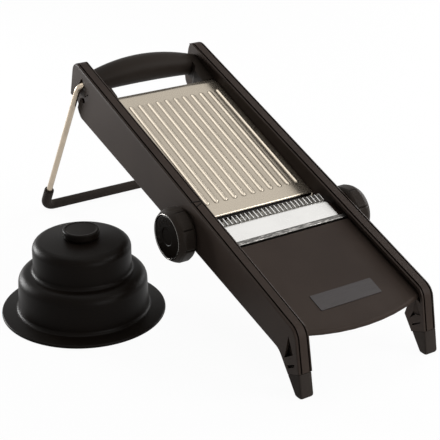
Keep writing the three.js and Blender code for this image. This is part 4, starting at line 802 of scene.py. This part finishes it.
def cut_dial(centre, outward):
    """Grid of a dial: rows along the outline, columns round it, the smaller of two radii."""
    share = np.sin(np.linspace(-np.pi / 2, np.pi / 2, PANEL_STEPS + 1)[:-1])
    angle = RIDGE_START + (np.arange(PANELS)[:, None] + 0.5 + share / 2) * 2 * np.pi / PANELS
    outline = finely(rounded(KNOB_OUTLINE, closed=False), OUTLINE_STEP)
    turned_radius, panel = outline[:, :1], panel_radius(np.tile(share, PANELS))[None]
    border = np.exp(-((turned_radius - panel) / BORDER_WIDTH)**2)
    radius = np.minimum(turned_radius, panel) - BORDER_DEPTH * border
    spokes = np.cos(angle.ravel())[:, None] * UPHILL + np.sin(angle.ravel())[:, None] * SQUARE
    height = (DIAL_BACK + outline[:, 1]) * mm
    return centre + radius[..., None] * mm * spokes + height[:, None, None] * outward


def dial_round(name, node, corners, centre, outward, closed):
    """The chrome ring, whose outline is closed, or the gloss face, from the dial's back out."""
    outline = rounded(corners, closed=closed) + [0, DIAL_BACK]
    grid = turned(outline, centre, outward, UPHILL, ROUND_STEPS)
    return show(name, closed_up(surface(grid, closed_rows=closed, closed_columns=True)), node,
                finish=dark_chrome if closed else gloss_black)


RING = [(16.85, 13.6, 0.1), (17.6, 13.6, 0.1), (17.6, 14.8, 0.34), (16.85, 14.8, 0.34)]
FACE = [(0, 14.0, 0), (6.6, 14.0, 0.3), (7.2, 14.35, 0.3), (15.9, 14.35, 0.3), (16.5, 13.9, 0.2),
        (16.5, 13.6, 0), (0, 13.6, 0)]
dial_sides = {"thickness": -ACROSS, "julienne": ACROSS}
for dial, outward in dial_sides.items():
    centre = pivots[dial + "_turn"]
    knob = surface(cut_dial(centre, outward), closed_columns=True)
    show(dial + "_knob", closed_up(knob), dial + "_dial", finish=grip_black)
    dial_round(dial + "_bezel", dial + "_dial_ring", RING, centre, outward, True)
    dial_round(dial + "_disc", dial + "_dial_face", FACE, centre, outward, False)
print("dial faces:", len(knob.polygons))

# %% [markdown]
# The dial's face carries plain raised numbers, spread over the angle that the dial can turn. Text
# becomes a mesh first, and its flat points are then laid on the face as arrays: the number's up
# is the spoke from the dial's middle, its right is the viewer's right when looking at the face.

# %% Raise the numbers
NUMBER_SIZE, NUMBER_RADIUS, NUMBER_HEIGHT = 4.4, 12.2, 0.28
FACE_TOP, SHARE_LIFTED, CURVE_STEPS = 14.35, 0.2, 3


def flat_text(text):
    """Points and faces of a text as a thin slab lying on z = 0."""
    curve = bpy.data.curves.new("text", "FONT")
    curve.body, curve.size, curve.resolution_u = text, NUMBER_SIZE, CURVE_STEPS
    curve.align_x, curve.align_y = "CENTER", "CENTER"
    curve.extrude = NUMBER_HEIGHT / 2
    holder = bpy.data.objects.new("text", curve)
    bpy.context.scene.collection.objects.link(holder)
    scene_now = bpy.context.evaluated_depsgraph_get()
    mesh = bpy.data.meshes.new_from_object(holder.evaluated_get(scene_now))
    bpy.data.objects.remove(holder)
    return mesh


def laid(mesh, centre, outward, angle, radius):
    """The slab laid on the face at a spoke's angle: right is (-outward) x spoke."""
    spoke = math.cos(angle) * UPHILL + math.sin(angle) * SQUARE
    flat = np.empty(3 * len(mesh.vertices), np.float32)
    mesh.vertices.foreach_get("co", flat)
    flat = flat.reshape(-1, 3) * mm
    level = DIAL_BACK + FACE_TOP + SHARE_LIFTED * NUMBER_HEIGHT
    middle = centre + radius * mm * spoke + level * mm * outward
    place = middle + flat @ np.stack([np.cross(-outward, spoke), spoke, outward])
    mesh.vertices.foreach_set("co", place.astype(np.float32).ravel())
    return mesh


def numbers(dial, outward, count):
    """All numbers of a dial in one mesh, from straight up and against the dial's turn."""
    span = math.radians(joints[dial + "_turn"]["range_deg"][1])
    sense = joints[dial + "_turn"]["axis"][0]
    shape = bmesh.new()
    for number in range(count):
        angle = math.pi / 2 - sense * span * number / (count - 1)
        slab = flat_text(str(number))
        shape.from_mesh(laid(slab, pivots[dial + "_turn"], outward, angle, NUMBER_RADIUS))
    mesh = bpy.data.meshes.new(dial + "_numbers")
    bmesh.ops.remove_doubles(shape, verts=shape.verts, dist=SEAM)
    bmesh.ops.recalc_face_normals(shape, faces=shape.faces)
    settle(shape, mesh)
    return show(dial + "_numbers", mesh, dial + "_dial_face", finish=grip_black)


counts = {"thickness": 8, "julienne": 4}
made = [numbers(dial, outward, counts[dial]) for dial, outward in dial_sides.items()]
print("numbers:", [len(piece.data.polygons) for piece in made])

# %% [markdown]
# Six screws come up through the rails from below. Each head is a low dome with a cross recess.
# A cross is a shape that every spoke leaves only once, so its edge is a distance for each angle:
# the further of the two bars' edges along that spoke.

# %% Turn the screws
SCREW_ANGLES = 96
CROSS_LENGTH, CROSS_WIDTH, CROSS_DEPTH, CROSS_RIM, FLOOR_SHARE = 1.9, 0.42, 1.1, 0.05, 0.8
DOME = [(2.3, 0.12), (2.8, 0.35), (3.08, 0.75), (3.2, 1.2), (3.2, 2.0)]
HEAD_HEIGHT, SHANK_RADIUS, TIP_RADIUS, TIP_LENGTH = 2.0, 1.6, 1.0, 0.8


def cross_edge(angle):
    """max(min(L / |cos|, w / |sin|), min(L / |sin|, w / |cos|)), half length L, half width w."""
    along, aside = np.abs(np.cos(angle)) + 1e-6, np.abs(np.sin(angle)) + 1e-6
    return np.maximum(np.minimum(CROSS_LENGTH / along, CROSS_WIDTH / aside),
                      np.minimum(CROSS_LENGTH / aside, CROSS_WIDTH / along))


def screw_grid(base, length):
    """Grid of a screw from its recess's floor, over the dome, back to the shank and its tip."""
    angle = np.linspace(0, 2 * np.pi, SCREW_ANGLES, endpoint=False)
    edge, one = cross_edge(angle), np.ones(SCREW_ANGLES)
    recess = [(0 * one, CROSS_DEPTH), (FLOOR_SHARE * edge, CROSS_DEPTH), (edge, CROSS_RIM)]
    shank = [(SHANK_RADIUS, HEAD_HEIGHT), (SHANK_RADIUS, length - TIP_LENGTH),
             (TIP_RADIUS, length), (0, length)]
    rows = recess + [(radius * one, height) for radius, height in DOME + shank]
    radius = np.array([row[0] for row in rows])[..., None] * mm
    height = np.array([row[1] for row in rows])[:, None, None] * mm
    spokes = np.cos(angle)[:, None] * ACROSS + np.sin(angle)[:, None] * UPHILL
    return base + radius * spokes + height * SQUARE


def screw(node):
    """A screw in the place of its node, whose length and middle come from the node's points."""
    flat = np.empty(3 * len(frame["nodes"][node].data.vertices), np.float32)
    frame["nodes"][node].data.vertices.foreach_get("co", flat)
    points = flat.reshape(-1, 3)
    level = points @ SQUARE
    across, uphill = (0.5 * ((points @ way).min() + (points @ way).max())
                      for way in (ACROSS, UPHILL))
    base = across * ACROSS + uphill * UPHILL + level.min() * SQUARE
    grid = screw_grid(base, (level.max() - level.min()) / mm)
    return show(node + "_cut", closed_up(surface(grid, closed_columns=True)), node)


screw_nodes = [name for name in frame["nodes"] if "_screw_" in name]
screws = [screw(node) for node in screw_nodes]
print("screws:", len(screws))

# %% [markdown]
# Two fine raised lines on the left rail's top stand for the mark that the dial is read against.
# Each is a thin bar with a round back: a half circle carried along a short line.

# %% Raise the mark on the rail
MARK_RADIUS, MARK_END, MARK_STEPS = 0.45, 0.405, 16
MARK_LINES = [((-60.6, 47.4), (-52.6, 46.6)), ((-58.8, 41.8), (-52.6, 44.6))]


def raised_line(start, stop):
    """A thin bar with a round back between two places (x, reach) of the rail's top."""
    ends = on_slope(*np.array([start, stop]).T, 0.0)
    path, radii = ended(ends, MARK_RADIUS * mm, MARK_END * mm)
    return surface(tube(path, SQUARE, radii, MARK_STEPS), closed_columns=True)


mark_shape = bmesh.new()
for start, stop in MARK_LINES:
    mark_shape.from_mesh(closed_up(raised_line(start, stop)))
mark = bpy.data.meshes.new("reading_mark")
settle(mark_shape, mark)
show("reading_mark", mark, "left_rail", finish=gloss_black)
print("mark faces:", len(mark.polygons))

# %% [markdown]
# The picture is on plain white. Only the camera, mirrors and glass see that white: the light on
# the slicer itself comes from a dimmer sky and from large soft lamps, so that colours render
# about as they are written. The floor is white in the same way but keeps a share of its own
# shading, which leaves a faint shadow under the slicer.

# %% Set up floor and sky
SKY = 0.05
FLOOR_SIZE, FLOOR_WHITE = 4.0, 0.95
FLOOR_TONE, FLOOR_ROUGHNESS = (0.86, 0.86, 0.86, 1), 0.9


def seen_directly(start):
    """One for rays from the camera, from mirrors and through glass."""
    rays = [start.node("ShaderNodeLightPath", output=name)
            for name in ("Is Camera Ray", "Is Glossy Ray", "Is Transmission Ray")]
    either = rays[0] + rays[1] + rays[2]
    return either.node("ShaderNodeClamp", {}, {"Value": either})


def make_sky():
    """White where it is seen, a dimmer white as light."""
    world = bpy.data.worlds.new("sky")
    world.use_nodes = True
    bpy.context.scene.world = world
    background = world.node_tree.nodes["Background"]
    seen = seen_directly(Signal(world.node_tree, background.outputs[0]))
    background.inputs["Color"].default_value = (1, 1, 1, 1)
    world.node_tree.links.new((SKY + (1 - SKY) * seen).socket, background.inputs["Strength"])


def make_floor():
    """A square of worktop, mostly white by itself where it is seen."""
    half = FLOOR_SIZE / 2
    mesh = bpy.data.meshes.new("floor")
    corners = [(-half, -half, 0), (half, -half, 0), (half, half, 0), (-half, half, 0)]
    mesh.from_pydata(corners, [], [(0, 1, 2, 3)])
    floor = bpy.data.objects.new("floor", mesh)
    bpy.context.scene.collection.objects.link(floor)
    material = bpy.data.materials.new("pale_floor")
    material.use_nodes = True
    tree = material.node_tree
    shader = tree.nodes["Principled BSDF"]
    shader.inputs["Base Color"].default_value = FLOOR_TONE
    shader.inputs["Roughness"].default_value = FLOOR_ROUGHNESS
    start = Signal(tree, shader.outputs[0])
    glow = start.node("ShaderNodeEmission", {}, {"Color": (1, 1, 1, 1), "Strength": 1.0})
    share = FLOOR_WHITE * seen_directly(start)
    mixed = start.node("ShaderNodeMixShader", {}, {0: share, 1: start, 2: glow})
    tree.links.new(mixed.socket, tree.nodes["Material Output"].inputs["Surface"])
    mesh.materials.append(material)


make_sky()
make_floor()
print("sky:", SKY)

# %% [markdown]
# The lamps are square softboxes. Each was rendered alone first, and the powers are the mix that
# best adds up to the brightness of each part in the photograph: rail tops and deck, sides, hand
# guard and metal. The blade and the feed plate mirror the place of over_right, so it is weak.

# %% Hang the lamps
AIM = (0.0, 0.0, 0.06)
LAMPS = {
    "overhead": ((-0.1, 0.45, 1.5), 0.9, 4.3),
    "over_front": ((0.1, -0.4, 1.4), 0.9, 3.5),
    "over_right": ((0.45, 0.14, 0.66), 0.4, 0.08),
    "right": ((1.4, 0.2, 0.5), 0.8, 12.0),
    "front_right": ((1.1, -1.0, 0.8), 0.8, 13.0),
    "front": ((0.1, -1.0, 0.2), 0.5, 3.5),
    "left_rear": ((-0.45, 0.95, 0.2), 0.4, 13.0),
}


def softbox(name, place, size, power):
    """A square lamp at a place, turned to face the middle of the set."""
    lamp = bpy.data.lights.new(name, "AREA")
    lamp.size = size
    lamp.energy = power
    made = bpy.data.objects.new(name, lamp)
    bpy.context.scene.collection.objects.link(made)
    back = np.array(place) - np.array(AIM)
    back /= np.linalg.norm(back)
    right = np.cross(UP, back)
    right /= np.linalg.norm(right)
    placing = np.eye(4)
    placing[:3, :3] = np.stack([right, np.cross(back, right), back], axis=1)
    placing[:3, 3] = place
    made.matrix_world = Matrix(placing.tolist())


for name, (place, size, power) in LAMPS.items():
    softbox(name, place, size, power)
print("lamps:", list(LAMPS))

# %% [markdown]
# The last cell sets the colour transform to Standard.

# %% Finish
bpy.context.scene.view_settings.view_transform = "Standard"
